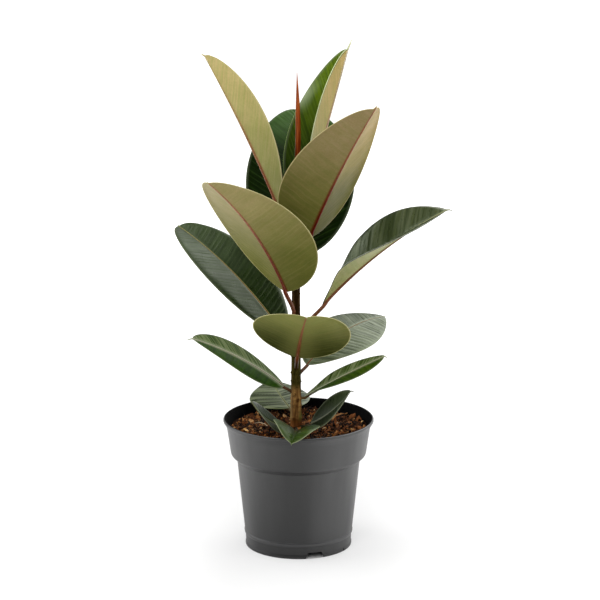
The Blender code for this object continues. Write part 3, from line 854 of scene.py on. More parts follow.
blade = dict(
    thickness=0.0009, thinning=0.4, tipLength=2.5, tipWidth=1.6, tipHalf=0.0004, tipStart=0.8,
    hookStart=0.72, petioleBase=0.0011, petiolePerWidth=0.0075, petiolePerLength=0.0015,
    petioleStart=0.006, steepestStart=0.3, seatDepth=0.0003, mergeEnd=0.07, ribShare=0.8, ribTaper=0.6,
    ribEnd=0.0003, ribSink=0.72, ribStop=0.985, keelDepth=0.9, grooveDepth=0.00040, grooveHalf=0.0013,
    rimSwell=0.00025, stationsPerMillimetre=1.0, columns=17, ribSides=16, rim=0.0008, veinLean=0.42,
    veinCurve=1.6, fadeAtRib=0.006, fadeAtRim=0.007, droop=24, droopFrom=0.68, backRelief=0.22, neckEnd=0.36,
)

leaves = (
    dict(name="leaf_01", node=136, heading=224, sweep=-8, rise=9, arch=50, roll=-35, twist=9, fold=10,
         opening=9, cup=-5, petiole=19, length=62, width=39, skew=0.94, full=0.63, droop=16, looks="dim"),
    dict(name="leaf_02", node=136, heading=272, sweep=-10, rise=10, arch=1, hook=-36, roll=-6, twist=-4,
         fold=46, opening=0, cup=-36, petiole=34, length=66, width=60, skew=0.78, full=0.52, droop=30,
         looks="old"),
    dict(name="leaf_03", node=136, heading=318, sweep=15, rise=19, arch=37, roll=48, twist=-15, fold=14,
         opening=7, cup=-3, petiole=24, length=74, width=39, skew=0.93, full=0.63, droop=14,
         tip=(4, 1.4, 0, -60), looks="shady"),
    dict(name="leaf_04", node=151, heading=106, sweep=0, rise=2, arch=9, roll=-2, twist=0, fold=-4,
         opening=0, cup=-5, petiole=26, length=83, width=72, skew=1.1, full=0.6, relief=1.6, looks="banded"),
    dict(name="leaf_05", node=167, heading=357, sweep=-2, rise=32, arch=-6, roll=1, twist=16, fold=9,
         opening=-24, cup=-8, petiole=11, length=107, width=47, skew=0.97, full=0.64, droop=30, neck=0.5,
         tip=(4, 2.4, 0, -80), looks="fresh"),
    dict(name="leaf_06", node=174, heading=194, sweep=14, rise=43, arch=-22, roll=-25, twist=1, fold=5,
         opening=16, cup=-9, petiole=19, length=134, width=56, skew=0.96, full=0.6, droop=26,
         tip=(7, 2.4, 0, -30), looks="striped"),
    dict(name="leaf_07", node=194, heading=50, sweep=0, rise=36, arch=-44, roll=9, twist=11, fold=-3,
         opening=-6, cup=-6, petiole=23, length=149, width=75, skew=0.96, full=0.67, droop=18, relief=1.5,
         looks="glossy"),
    dict(name="leaf_08", node=204, heading=273, sweep=3, rise=39, arch=-10, roll=-13, twist=8, fold=11,
         opening=13, cup=-4, petiole=37, length=142, width=109, skew=0.94, full=0.63, droop=12,
         tip=(3, 3.0, 0, -40), looks="curled"),
    dict(name="leaf_09", node=224, heading=138, sweep=-4, rise=46, arch=-29, roll=-10, twist=-4, fold=12,
         opening=10, cup=0, petiole=33, length=194, width=80, skew=0.91, full=0.51, droop=38,
         tip=(2, 2.0, 0, 0), relief=0.6, looks="grown"),
    dict(name="leaf_10", node=243, heading=341, sweep=-11, rise=54, arch=-25, roll=5, twist=33, fold=32,
         opening=-20, cup=-1, petiole=50, length=200, width=90, skew=0.96, full=0.89, droop=52, neck=0.55,
         tip=(6, 2.0, 0, -32), veinSpacing=0.0085, relief=1.9, looks="pale"),
    dict(name="leaf_11", node=265, heading=238, sweep=-7, rise=62, arch=-27, roll=3, twist=5, fold=19,
         opening=-4, cup=0, petiole=39, length=205, width=117, skew=0.76, full=0.6, droop=14,
         tip=(2, 2.0, 0, 0), looks="olive"),
    dict(name="leaf_12", node=317, heading=307, sweep=4, rise=62, arch=-11, roll=-7, twist=8, fold=23,
         opening=2, cup=1, petiole=50, length=198, width=116, skew=0.79, full=0.53, droop=16,
         tip=(5, 4.5, 0, 0), looks="rosy"),
    dict(name="leaf_13", node=324, heading=85, sweep=5, rise=51, arch=-16, roll=0, twist=6, fold=14,
         opening=24, cup=1, petiole=12, length=207, width=127, skew=0.91, full=0.54, looks="bright"),
    dict(name="leaf_14", node=342, heading=184, sweep=2, rise=70, arch=-9, roll=7, twist=14, fold=34,
         opening=11, cup=2, petiole=56, length=192, width=77, skew=0.98, full=0.57, droop=10,
         tip=(6, 1.8, 0, -45), lean=1.4, looks="young"),
    dict(name="leaf_15", node=367, heading=40, sweep=-8, rise=68, arch=4, roll=-5, twist=-16, fold=45,
         opening=0, cup=1, petiole=27, length=191, width=83, skew=0.82, full=0.6, droop=12,
         tip=(11, 2.0, 0, -12), lean=1.3, relief=0.3, looks="newest"),
)

# what most leaves share: the face at its base and tip, its side veins and midrib, the back at its base and
# tip, paler at the tip partly by its own colour and partly as painted light, the midrib below at its base and
# tip, the stalk, and the rim. lit is how much paler the back is by the midrib, gloss the shine of the face,
# and ribHalf half the width of the midrib on the face.
plainLeaf = dict(
    back=(0.125, 0.135, 0.03), backTip=(0.17, 0.175, 0.055), ribTip=(0.23, 0.15, 0.06), lit=0.1,
)
# darker colours for two low leaves, painted shade
shadedLeaf = dict(
    veins=(0.03, 0.045, 0.018), back=(0.07, 0.08, 0.03), backTip=(0.1, 0.11, 0.045),
    rib=(0.09, 0.07, 0.03), ribTip=(0.14, 0.15, 0.06), stalk=(0.02, 0.018, 0.006),
    margin=(0.2, 0.22, 0.13), lit=0.1, ribHalf=0.0012,
)
tallLeaf = dict(
    face=(0.016, 0.034, 0.004), faceTip=(0.02, 0.044, 0.006), veins=(0.045, 0.07, 0.025),
    faceRib=(0.23, 0.24, 0.08), stalk=(0.17, 0.05, 0.018), gloss=0.5, ribHalf=0.0012,
)
lowLeaf = dict(
    back=(0.11, 0.13, 0.05), backTip=(0.15, 0.17, 0.07), rib=(0.13, 0.11, 0.045), ribTip=(0.2, 0.22, 0.09),
    lit=0.1,
)

# each kind of leaf. rimSheenShare is how strong the pale band inside the rim is, a painted sheen, and
# rimSheenTint its tint, sheenStripes the tint of broad pale bands on the face, a painted sheen, stripeRule
# how many there are to a side vein and their least and most strength, and veinShare the same for the veins.
# sheenHalf is the sign of the only half that has the bands, tipFrom where the tip's colour starts, sheenAlong
# the stretch with a broad pale edge, a painted sheen, ribSheen how pale it is beside the midrib, a painted
# sheen, streaks how strong the streaks of the back are, rimShadowLine a dark line of painted shadow inside
# its margin, and paintedLitHalf the sign of a half of the back painted paler, as lit from its side, and its
# gain.
leafLooks = dict(
    old=lowLeaf | dict(face=(0.02, 0.05, 0.002), faceTip=(0.046, 0.086, 0.006), veins=(0.06, 0.085, 0.034),
        faceRib=(0.05, 0.09, 0.016), stalk=(0.03, 0.028, 0.009), margin=(0.3, 0.34, 0.18), gloss=0.16,
        ribHalf=0.0012),
    dim=shadedLeaf | dict(face=(0.012, 0.028, 0.001), faceTip=(0.03, 0.052, 0.012),
        faceRib=(0.12, 0.15, 0.07), gloss=0.06),
    # its near-black face is painted shade, and its pale midrib on the face a painted sheen
    shady=shadedLeaf | dict(face=(0.004, 0.01, 0.0005), faceTip=(0.045, 0.062, 0.025),
        faceRib=(0.12, 0.14, 0.1), gloss=0.15),
    # its pale bands on the face are a painted sheen, and its dark veins painted shade in the vein grooves
    banded=lowLeaf | dict(face=(0.024, 0.04, 0.008), faceTip=(0.036, 0.058, 0.014),
        veins=(0.012, 0.02, 0.006), faceRib=(0.3, 0.34, 0.12), stalk=(0.08, 0.05, 0.02),
        margin=(0.2, 0.24, 0.11), gloss=0.4, ribHalf=0.0013, sheenStripes=(0.38, 0.41, 0.29),
        stripeRule=(0.9, 0.0, 0.85), veinShare=(0.3, 0.98)),
    grown=plainLeaf | dict(face=(0.005, 0.017, 0.0003), faceTip=(0.036, 0.06, 0.016),
        veins=(0.036, 0.056, 0.016), faceRib=(0.23, 0.24, 0.07), rib=(0.17, 0.06, 0.022),
        stalk=(0.08, 0.03, 0.012), margin=(0.12, 0.14, 0.05), gloss=0.42, ribHalf=0.0012),
    # its pale bands on the face are a painted sheen, and its dark veins painted shade in the vein grooves
    glossy=plainLeaf | dict(face=(0.03, 0.046, 0.014), faceTip=(0.02, 0.038, 0.004),
        veins=(0.01, 0.018, 0.005), faceRib=(0.17, 0.2, 0.11), rib=(0.17, 0.06, 0.022),
        stalk=(0.07, 0.028, 0.009), margin=(0.16, 0.19, 0.08), gloss=0.95, ribHalf=0.0013,
        sheenStripes=(0.215, 0.235, 0.165), stripeRule=(0.9, 0.1, 0.75), veinShare=(0.2, 0.9)),
    # its pale bands on one half, the pale band inside its rim, and its pale grey midrib on the face with the
    # band beside it are painted sheen
    fresh=plainLeaf | dict(face=(0.026, 0.064, 0.001), faceTip=(0.052, 0.098, 0.001),
        veins=(0.055, 0.09, 0.012), faceRib=(0.42, 0.45, 0.3), rib=(0.13, 0.06, 0.018),
        stalk=(0.12, 0.13, 0.022), margin=(0.2, 0.23, 0.12), gloss=0.03, ribHalf=0.0017, rimSheenShare=0.7,
        sheenStripes=(0.27, 0.3, 0.16), stripeRule=(1.6, 0.1, 0.75), sheenHalf=1, ribSheen=0.35),
    # its pale bands on one half, the pale band inside its rim, and its pale grey midrib on the face with the
    # band beside it are painted sheen
    striped=plainLeaf | dict(face=(0.022, 0.066, 0.0005), faceTip=(0.03, 0.08, 0.002),
        veins=(0.04, 0.07, 0.01), faceRib=(0.42, 0.44, 0.33), rib=(0.13, 0.06, 0.018),
        stalk=(0.06, 0.026, 0.008), margin=(0.2, 0.23, 0.12), gloss=0.02, ribHalf=0.002, rimSheenShare=0.65,
        sheenStripes=(0.29, 0.33, 0.17), stripeRule=(2.2, 0.1, 0.9), sheenHalf=-1, ribSheen=0.55),
    # its back is dark at the base, painted shade where it faces down to the pot
    curled=dict(face=(0.018, 0.04, 0.005), faceTip=(0.04, 0.075, 0.01), veins=(0.05, 0.08, 0.02),
        faceRib=(0.2, 0.22, 0.06), back=(0.032, 0.039, 0.003), backTip=(0.29, 0.29, 0.08),
        rib=(0.19, 0.046, 0.012), ribTip=(0.33, 0.12, 0.05), stalk=(0.06, 0.022, 0.005),
        margin=(0.56, 0.53, 0.23), lit=0.5, gloss=0.5, ribHalf=0.0012),
    # its pale band inside the rim of the face is a painted sheen, and its dark margin painted shade along the
    # edge
    pale=dict(face=(0.034, 0.054, 0.018), faceTip=(0.074, 0.098, 0.052), veins=(0.07, 0.095, 0.044),
        faceRib=(0.3, 0.32, 0.15), back=(0.4, 0.4, 0.15), backTip=(0.4, 0.41, 0.175),
        rib=(0.25, 0.09, 0.038), ribTip=(0.38, 0.26, 0.14), stalk=(0.2, 0.072, 0.022),
        margin=(0.018, 0.03, 0.006), lit=0.0, gloss=1.0, ribHalf=0.002, rimSheenShare=0.9,
        sheenStripes=(0.16, 0.185, 0.112), stripeRule=(0.8, 0.0, 0.85), rimSheenTint=(0.44, 0.46, 0.4)),
    olive=tallLeaf | dict(back=(0.185, 0.185, 0.04), backTip=(0.45, 0.368, 0.165),
        rib=(0.185, 0.026, 0.007), ribTip=(0.47, 0.21, 0.12), margin=(0.64, 0.57, 0.26), lit=0.1,
        backGloss=0.1, streaks=0.45),
    # one half of its back is painted paler, a painted light from its side
    rosy=tallLeaf | dict(back=(0.18, 0.17, 0.036), backTip=(0.36, 0.268, 0.135), rib=(0.175, 0.014, 0.003),
        ribTip=(0.38, 0.15, 0.08), margin=(0.6, 0.5, 0.23), lit=0.0, backGloss=0.05, streaks=0.45,
        paintedLitHalf=(1, 1.46, 1.38, 1.05)),
    # its near-black face at the base is painted shade under the leaves in front, and its pale green tip
    # painted light and sheen
    bright=dict(face=(0.004, 0.014, 0.0003), faceTip=(0.075, 0.165, 0.035), veins=(0.02, 0.05, 0.004),
        faceRib=(0.2, 0.26, 0.07), back=(0.15, 0.18, 0.05), backTip=(0.2, 0.22, 0.08),
        rib=(0.25, 0.06, 0.03), ribTip=(0.3, 0.2, 0.08), stalk=(0.1, 0.04, 0.02),
        margin=(0.07, 0.11, 0.03), lit=0.0, gloss=0.12, ribHalf=0.0012, tipFrom=0.62),
    young=dict(face=(0.03, 0.07, 0.006), faceTip=(0.07, 0.14, 0.01), veins=(0.07, 0.14, 0.04),
        faceRib=(0.25, 0.32, 0.08), back=(0.29, 0.28, 0.085), backTip=(0.6, 0.49, 0.21),
        rib=(0.38, 0.13, 0.065), ribTip=(0.58, 0.46, 0.19), stalk=(0.3, 0.09, 0.05),
        margin=(0.64, 0.56, 0.26), lit=0.0, gloss=0.5, ribHalf=0.0012, streaks=0.8),
    # its white margin is partly its pale rim and partly painted highlight, the dark line inside it on the
    # back painted shadow, and the broad pale edge of its face painted sheen
    newest=dict(face=(0.024, 0.048, 0.001), faceTip=(0.15, 0.235, 0.001), veins=(0.1, 0.17, 0.01),
        faceRib=(0.25, 0.33, 0.05), back=(0.4, 0.37, 0.128), backTip=(0.58, 0.425, 0.165),
        rib=(0.48, 0.2, 0.12), ribTip=(0.74, 0.64, 0.44), stalk=(0.3, 0.1, 0.05), margin=(0.8, 0.86, 0.46),
        lit=0.0, gloss=0.35, ribHalf=0.0012, rimShadowLine=(0.05, 0.08, 0.01), faceMargin=(0.2, 0.3, 0.07),
        rimSheenShare=0.5, backGloss=0.06, sheenAlong=(0.58, 0.66)),
)


def halfWidth(leaf, t):
    tipLength, tipWidth = leaf.get("tip", (blade["tipLength"], blade["tipWidth"]))[:2]
    end = 1 - tipLength / leaf["length"]
    body = 0.0
    if t < end:
        body = max(0.0, math.sin(math.pi * (t / end) ** leaf["skew"])) ** leaf["full"]
        body *= 1 - leaf.get("neck", 0) * (1 - smoothStep(t / blade["neckEnd"]))
    point = 0.0
    if t > blade["tipStart"]:
        point = tipWidth / leaf["width"] * min(1.0, (1 - t) / (1 - end)) ** 0.6
    return leaf["width"] / 2000 * (body ** 4 + point ** 4) ** 0.25


def petioleRadius(leaf):
    spread = blade["petiolePerWidth"] * leaf["width"] + blade["petiolePerLength"] * leaf["length"]
    return blade["petioleBase"] + spread / 1000


def thicknessAt(t):
    return blade["thickness"] * (1 - blade["thinning"] * t)


def foldAt(leaf, t):
    return math.radians(leaf["fold"] + leaf["opening"] * (t - 0.5))


def leafDirection(leaf, share):
    bent = leaf.get("hook", 0) * smoothStep((share - blade["hookStart"]) / (1 - blade["hookStart"]))
    heading = leaf["heading"] + leaf["sweep"] * share
    if len(leaf.get("tip", ())) > 2:
        tipShare = leaf["tip"][0] / (leaf["petiole"] + leaf["length"])
        turned = smoothStep((share - 1 + 1.6 * tipShare) / (1.4 * tipShare))
        heading += leaf["tip"][2] * turned
        bent += leaf["tip"][3] * turned
    rise, heading = math.radians(leaf["rise"] + leaf["arch"] * share + bent), math.radians(heading)
    return Vector((math.cos(heading), math.sin(heading), 0)) * math.cos(rise) + Vector((0, 0, math.sin(rise)))


def leafAxes(leaf, share, t):
    ahead = leafDirection(leaf, share)
    heading = math.radians(leaf["heading"] + leaf["sweep"] * share)
    level = Vector((-math.sin(heading), math.cos(heading), 0))
    above = ahead.cross(level)
    roll = math.radians(leaf["roll"] + leaf["twist"] * t)
    across = level * math.cos(roll) + above * math.sin(roll)
    return across, above * math.cos(roll) - level * math.sin(roll)


# shares of the half width at which the blade has points: close at the midrib, even, and one before the rim
def columnShares(width):
    inner = min(0.0018, 0.3 * width)
    rim = min(blade["rim"], 0.2 * width)
    steps = blade["columns"]
    even = [(inner + (width - rim - inner) * k / steps) / width for k in range(steps + 1)]
    return [0.0, 0.45 * inner / width] + even + [1.0]


# one ring of points round the blade, and for each its run along the midrib, its reach from it, its gap to the
# margin, the run at which its side vein leaves the midrib, and how far relief lifts it, negative on the back
def bladePoints(leaf, middle, across, up, t, run):
    width = max(halfWidth(leaf, t), blade["tipHalf"])
    fold, cup = foldAt(leaf, t), math.radians(leaf["cup"])
    droop = math.radians(leaf.get("droop", blade["droop"])) * smoothStep(t / 0.15)
    droop *= smoothStep((1 - t) / 0.12)

    def surface(share, depth):
        side = -1 if share < 0 else 1
        reach = abs(share)
        tilt = fold + cup * reach / 2
        out = across * side * math.cos(tilt) + up * math.sin(tilt)
        edge = max(0.0, (reach - blade["droopFrom"]) / (1 - blade["droopFrom"]))
        turn = fold + cup * reach - droop * edge ** 2
        face = up * math.cos(turn) - across * side * math.sin(turn)
        fall = droop * (1 - blade["droopFrom"]) * width * edge ** 3 / 3
        return middle + out * width * reach - face * (depth + fall)

    half = columnShares(width)
    shares = [-share for share in half[:0:-1]] + half
    groove = min(blade["grooveDepth"], 0.1 * width)
    top = [surface(s, groove * math.exp(-((s * width / blade["grooveHalf"]) ** 2))) for s in shares]
    under = [surface(s, thicknessAt(t)) for s in reversed(shares)]
    swell = min(blade["rimSwell"], 0.2 * width)
    sides = []
    for sign in (1, -1):
        out = (surface(sign, 0) - surface(sign * 0.9, 0)).normalized()
        sides.append(surface(sign * 1.0, thicknessAt(t) / 2) + out * swell)
    points = top + [sides[0]] + under + [sides[1]]
    reaches = [s * width for s in shares] + [width] + [s * width for s in reversed(shares)] + [-width]
    signs = [1] * len(shares) + [0] + [-1] * len(shares) + [0]
    rows = []
    for reach, sign in zip(reaches, signs):
        gap = width - abs(reach)
        vein = run - leaf.get("lean", blade["veinLean"]) * abs(reach) - blade["veinCurve"] * reach * reach
        fade = smoothStep(abs(reach) / blade["fadeAtRib"]) * smoothStep(gap / blade["fadeAtRim"])
        rows.append((run, reach, gap, vein, sign * fade))
    return points, rows


# slides a point along the petiole until it is just inside the bark
def seatedOnStem(point, ahead):
    run = Vector((ahead.x, ahead.y, 0))
    for _ in range(4):
        flat = Vector((point.x - stem["x"], point.y, 0))
        reach = stemRadius(point.z) - blade["seatDepth"]
        a, b, c = run.dot(run), flat.dot(run), flat.dot(flat) - reach * reach
        point = point + ahead * ((-b + math.sqrt(max(b * b - a * c, 0.0))) / a)
    return point


# where along the leaf its rings are: even along the petiole, closer at both ends of the blade
def leafStations(leaf, start):
    petiole, length = leaf["petiole"] / 1000, leaf["length"] / 1000
    stalkSteps = max(8, int((petiole - start) * 500))
    bladeSteps = int(leaf["length"] * blade["stationsPerMillimetre"])
    stalk = [start + (petiole - start) * k / stalkSteps for k in range(stalkSteps)]
    turns = [math.pi * k / bladeSteps for k in range(bladeSteps + 1)]
    return stalk + [petiole + length * (1 - math.cos(turn)) / 2 for turn in turns]


# which part each face of the blade is: 0 face, 1 back, 3 margin
def bladeParts(faces, count):
    columns = (count - 2) // 2
    parts = []
    for face in faces:
        low = sorted(index % count for index in face)
        place = count - 1 if low[0] == 0 and low[-1] == count - 1 else low[0]
        place = count - 2 - place if place < count - 1 else count - 1  # the rings were turned round
        if len(face) > 4 or place in (columns, columns + 1, 2 * columns, count - 1):
            parts.append(3)
        else:
            parts.append(0 if place < columns - 1 else 1)
    return parts


def leafMesh(leaf):
    petiole, length = leaf["petiole"] / 1000, leaf["length"] / 1000
    whole = petiole + length
    radius = petioleRadius(leaf)
    start = blade["petioleStart"] / max(math.cos(math.radians(leaf["rise"])), blade["steepestStart"])
    middle, done = Vector((stem["x"], 0, leaf["node"] / 1000)), 0.0
    bladeRings, ribRings, bladeRows, ribRows = [], [], [], []
    for station in leafStations(leaf, start):
        steps = 6 if done == 0 else 2
        step = (station - done) / steps
        for _ in range(steps):
            middle = middle + leafDirection(leaf, (done + step / 2) / whole) * step
            done += step
        run = station - petiole
        t = min(max(run / length, 0.0), 1.0)
        across, up = leafAxes(leaf, station / whole, t)
        rib = radius * blade["ribShare"] * (1 - t) ** blade["ribTaper"] + blade["ribEnd"]
        merge = smoothStep(t / blade["mergeEnd"])
        thick = radius + (rib * blade["ribSink"] - radius) * merge
        drop = smoothStep((station - start) / (petiole - start))
        keel = thicknessAt(t) / math.cos(foldAt(leaf, t)) + rib * blade["keelDepth"]
        depth = radius * drop * (1 - merge) + (keel - thick) * merge
        if t < blade["ribStop"]:
            centre = middle - up * depth
            ribRings.append([
                centre + across * thick * math.cos(a) * (1 - 0.15 * merge) + up * thick * math.sin(a)
                for a in around(blade["ribSides"])
            ])
            ribRows += [(run, 0.0, 0.01, run, 0.0)] * blade["ribSides"]
        if run >= 0:
            points, rows = bladePoints(leaf, middle, across, up, max(t, 0.0), run)
            bladeRings.append(points[::-1])
            bladeRows += rows[::-1]
    ahead = leafDirection(leaf, 0)
    ribRings[0] = [seatedOnStem(point, ahead) for point in ribRings[0]]
    vertices, faces = skinOver([ring[::-1] for ring in ribRings])
    parts = [2] * len(faces)
    bladeVertices, bladeFaces = skinOver(bladeRings)
    faces += [tuple(len(vertices) + index for index in face) for face in bladeFaces]
    made = newObject(leaf["name"] + "Draft", vertices + bladeVertices, faces)
    addAttribute(made, "part", parts + bladeParts(bladeFaces, len(bladeRings[0])), "INT", "FACE")
    rows = ribRows + bladeRows
    for k, name in enumerate(("run", "reach", "gap", "veinRun", "relief")):
        addAttribute(made, name, [row[k] for row in rows])
    addAttribute(made, "along", [min(max(row[0] / length, 0.0), 1.0) for row in rows])
    return made


# lifts the blade between its side veins and in slow waves, and coats face, back, midrib and margin
def veinTree():
    nodes, given = newTree("side veins", [
        ("Spacing", "Float", 0.009), ("Relief", "Float", 0.0002), ("Fine Relief", "Float", 0.00005),
        ("Wave Size", "Float", 0.035), ("Wave Height", "Float", 0.0004), ("Back Share", "Float", 0.4),
        ("Seed", "Float", 0.0), ("Face", "Material", None), ("Back", "Material", None),
        ("Midrib", "Material", None), ("Margin", "Material", None),
    ])
    seed, vein, relief = given["Seed"], nodes.named("veinRun"), nodes.named("relief")
    side = nodes.named("reach").maths("SIGN")
    wander = nodes.noise(nodes.vector(vein * 70.0, side, seed), 1.0, 2.0)
    turns = wander.maths("MULTIPLY_ADD", 0.009, vein) / given["Spacing"]

    def wave(times, height):
        return (turns * (2 * math.pi * times)).maths("SINE") * height

    def drift(scale, shift):
        return nodes.noise(soft, scale, 1.0, fourth=seed + shift)

    # a noise read as a strength, even between the two ends of its range
    def strengthOf(value, from_, to, least, most):
        return nodes.value("ShaderNodeMapRange", {0: value, 1: from_, 2: to, 3: least, 4: most})

    place = nodes.value("GeometryNodeInputPosition")
    soft = nodes.vectorMaths("SCALE", {0: place, "Scale": given["Wave Size"].maths("POWER", -1.0)})
    uneven = nodes.noise(nodes.vector(turns * 0.6, side, seed + 9.0), 1.0, 1.0)
    strength = strengthOf(drift(1.6, 5.0), 0.35, 0.65, 0.35, 1.35) * strengthOf(uneven, 0.3, 0.7, 0.3, 1.5)
    veined = (wave(1.0, given["Relief"]) + wave(3.0, given["Fine Relief"])) * strength
    onFace = veined * relief.maths("MAXIMUM", 0.0)
    onBack = veined * (relief.maths("MINIMUM", 0.0) * given["Back Share"])
    sway = (drift(1.0, 0.0) - 0.5) * given["Wave Height"] * relief
    normal = nodes.value("GeometryNodeInputNormal")
    push = nodes.vectorMaths("SCALE", {0: normal, "Scale": onFace + onBack + sway})
    marked = nodes.store(given["Geometry"], "turns", turns, "POINT")
    flow = nodes.realize(nodes.move(marked, Offset=push))
    for number, label in enumerate(("Face", "Back", "Midrib", "Margin")):
        chosen = nodes.add("FunctionNodeCompare", data_type="INT", operation="EQUAL")
        sockets = {socket.identifier: socket for socket in chosen.inputs}
        nodes.feed(sockets["A_INT"], nodes.named("part", "INT"))
        nodes.feed(sockets["B_INT"], number)
        flow = nodes.coat(flow, given[label], Selection=nodeValue(nodes, chosen.outputs[0]))
    nodes.finish(flow)
    return nodes.tree


# 1 on the lines of a pattern that repeats so many times from one side vein to the next, 0 between them
def veinLines(nodes, times, sharpness, wobble):
    bend = nodes.noise(nodes.place(), 70.0, 2.0) * wobble
    wave = ((nodes.read("turns") + bend) * times * (2 * math.pi)).maths("COSINE")
    return wave.maths("MULTIPLY_ADD", 0.5, 0.5).maths("POWER", sharpness)


# uneven streaks along the side veins, so many to the space between two of them
def veinStreaks(nodes, times, alongVein):
    where = nodes.vector(nodes.read("turns") * times, nodes.read("reach") * alongVein)
    return nodes.noise(where, 1.0, 3.0, 0.55)


# side veins and the finer ones between them, each with its sharpness, wobble and strength
def allVeins(nodes, least, most, main, fine):
    uneven = veinStreaks(nodes, 0.45, 12.0).fade(0.35, 0.65, least, most)
    return veinLines(nodes, 1.0, *main) * uneven + veinLines(nodes, *fine[:3]) * fine[3]


def scaled(shade, factor):
    return [channel * factor for channel in shade]


# 1 over the midrib, which narrows from base to tip, fading to 0 at its edge
def nearMidrib(nodes, atBase, atTip, softness):
    width = nodes.read("along").fade(0.0, 1.0, atBase, atTip)
    beyond = (nodes.read("reach").maths("ABSOLUTE") / width).fade(1.0 - softness, 1.0 + softness)
    return beyond.maths("MULTIPLY_ADD", -1.0, 1.0)


def faceMaterial(name, looks):
    made, nodes = newMaterial(name + "Face", looks["face"], 0.30, looks["gloss"])
    nodes.paint("Specular Tint", (0.88, 1.0, 0.68))
    place, run, gap = nodes.place(), nodes.read("along"), nodes.read("gap")
    ground = run.fade(looks.get("tipFrom", 0.1), 0.95).mix(looks["face"], looks["faceTip"])
    sheenHalf = looks.get("sheenHalf", 0)
    onSheenHalf = nodes.read("reach").fade(0.0, 0.004 * sheenHalf) if sheenHalf else 1.0
    # painted sheen: broad pale bands along the side veins, on one half only where that half is given
    if "sheenStripes" in looks:
        times, least, most = looks["stripeRule"]
        sheenStripe = veinStreaks(nodes, times, 8.0).fade(0.42, 0.58, least, most)
        ground = (sheenStripe * onSheenHalf).mix(ground, looks["sheenStripes"])
    mottled = nodes.noise(place, 38.0, 4.0, 0.6).fade(0.25, 0.75).mix(ground, (0.7, 0.75, 0.6), "MULTIPLY")
    streaked = veinStreaks(nodes, 1.3, 22.0).fade(0.38, 0.62).mix(mottled, (0.55, 0.62, 0.45), "MULTIPLY")
    veins = allVeins(nodes, *looks.get("veinShare", (0.10, 0.60)), (8.0, 0.35), (3.0, 3.0, 0.5, 0.10))
    lines = veins * nodes.read("relief").maths("ABSOLUTE")
    veined = lines.mix(streaked, looks["veins"])
    # painted sheen: a pale band inside the margin of the face
    rim = gap.fade(0.0042, 0.0006, 0.0, looks.get("rimSheenShare", 0.35))
    if sheenHalf:
        rim = rim * onSheenHalf.fade(0.0, 1.0, 0.25, 1.0)
    sheened = rim.mix(veined, looks.get("rimSheenTint", (0.15, 0.17, 0.11)))
    # painted sheen: a broad pale edge over one stretch of the leaf
    if "sheenAlong" in looks:
        start, end = looks["sheenAlong"]
        there = run.fade(start - 0.1, start + 0.1) * run.fade(end + 0.1, end - 0.1)
        sheened = (gap.fade(0.0150, 0.0010, 0.0, 0.9) * there).mix(sheened, (0.420, 0.500, 0.300))
    # painted sheen: a pale band beside the midrib
    if "ribSheen" in looks:
        paintedRibSheen = nearMidrib(nodes, 0.0052, 0.0034, 0.6) * looks["ribSheen"]
        sheened = paintedRibSheen.mix(sheened, (0.300, 0.340, 0.200))
    edged = gap.fade(0.0010, 0.0002, 0.0, 0.8).mix(sheened, looks.get("faceMargin", looks["margin"]))
    onRib = nearMidrib(nodes, looks["ribHalf"], 0.45 * looks["ribHalf"], 0.3)
    nodes.paint("Base Color", onRib.mix(edged, looks["faceRib"]))
    soft = nodes.noise(place, 90.0, 3.0, 0.6).fade(0.2, 0.8, 0.25, 0.36)
    nodes.paint("Roughness", soft.maths("ADD", lines * 0.5, clamp=True))
    nodes.bump(lines, 0.0003, 0.5)
    return made


def backMaterial(name, looks):
    made, nodes = newMaterial(name + "Back", looks["back"], 0.48, looks.get("backGloss", 0.25))
    nodes.paint("Specular Tint", (1.0, 0.92, 0.62))
    place, gap = nodes.place(), nodes.read("gap")
    along = nodes.read("along").fade(0.12, 0.95)
    # paler towards the tip, partly the leaf's own colour and partly painted light
    ground = along.mix(looks["back"], looks["backTip"])
    # painted light: one half of the back is painted paler, more so away from its base, as lit from its side
    if "paintedLitHalf" in looks:
        sign, *gain = looks["paintedLitHalf"]
        half = nodes.read("reach").fade(0.0, 0.003 * sign)
        ground = (half * along.fade(0.1, 0.5)).mix(ground, gain, "MULTIPLY")
    patched = nodes.noise(place, 45.0, 4.0, 0.6).fade(0.25, 0.75).mix(ground, (0.84, 0.86, 0.76), "MULTIPLY")
    speckle = nodes.noise(place, 520.0, 2.0, 0.6).fade(0.35, 0.7, 0.0, 0.5)
    speckled = speckle.mix(patched, (0.80, 0.86, 0.72), "MULTIPLY")
    shades = veinStreaks(nodes, 1.2, 30.0).fade(0.34, 0.66).mix((0.86, 0.94, 0.78), (1.14, 1.06, 1.16))
    streaked = nodes.mix(looks.get("streaks", 0.6), speckled, shades, "MULTIPLY")
    lines = allVeins(nodes, 0.0, 0.10, (5.0, 0.6), (4.0, 2.0, 0.8, 0.03))
    veined = lines.mix(streaked, scaled(looks["backTip"], 1.6))
    lit = (nearMidrib(nodes, 0.016, 0.010, 0.9) * looks["lit"]).mix(veined, scaled(looks["backTip"], 0.8))
    red = along.mix(looks["rib"], looks["ribTip"])
    ribbed = (nearMidrib(nodes, 0.0023, 0.0007, 0.35) * 0.65).mix(lit, red)
    edge = 0.0012
    # painted shadow: a dark line inside the margin of the back
    if "rimShadowLine" in looks:
        edge = 0.0016
        ribbed = gap.fade(0.0030, 0.0024).mix(ribbed, looks["rimShadowLine"])
    nodes.paint("Base Color", gap.fade(edge, 0.4 * edge).mix(ribbed, looks["margin"]))
    nodes.bump(lines, 0.0004, 0.3)
    return made


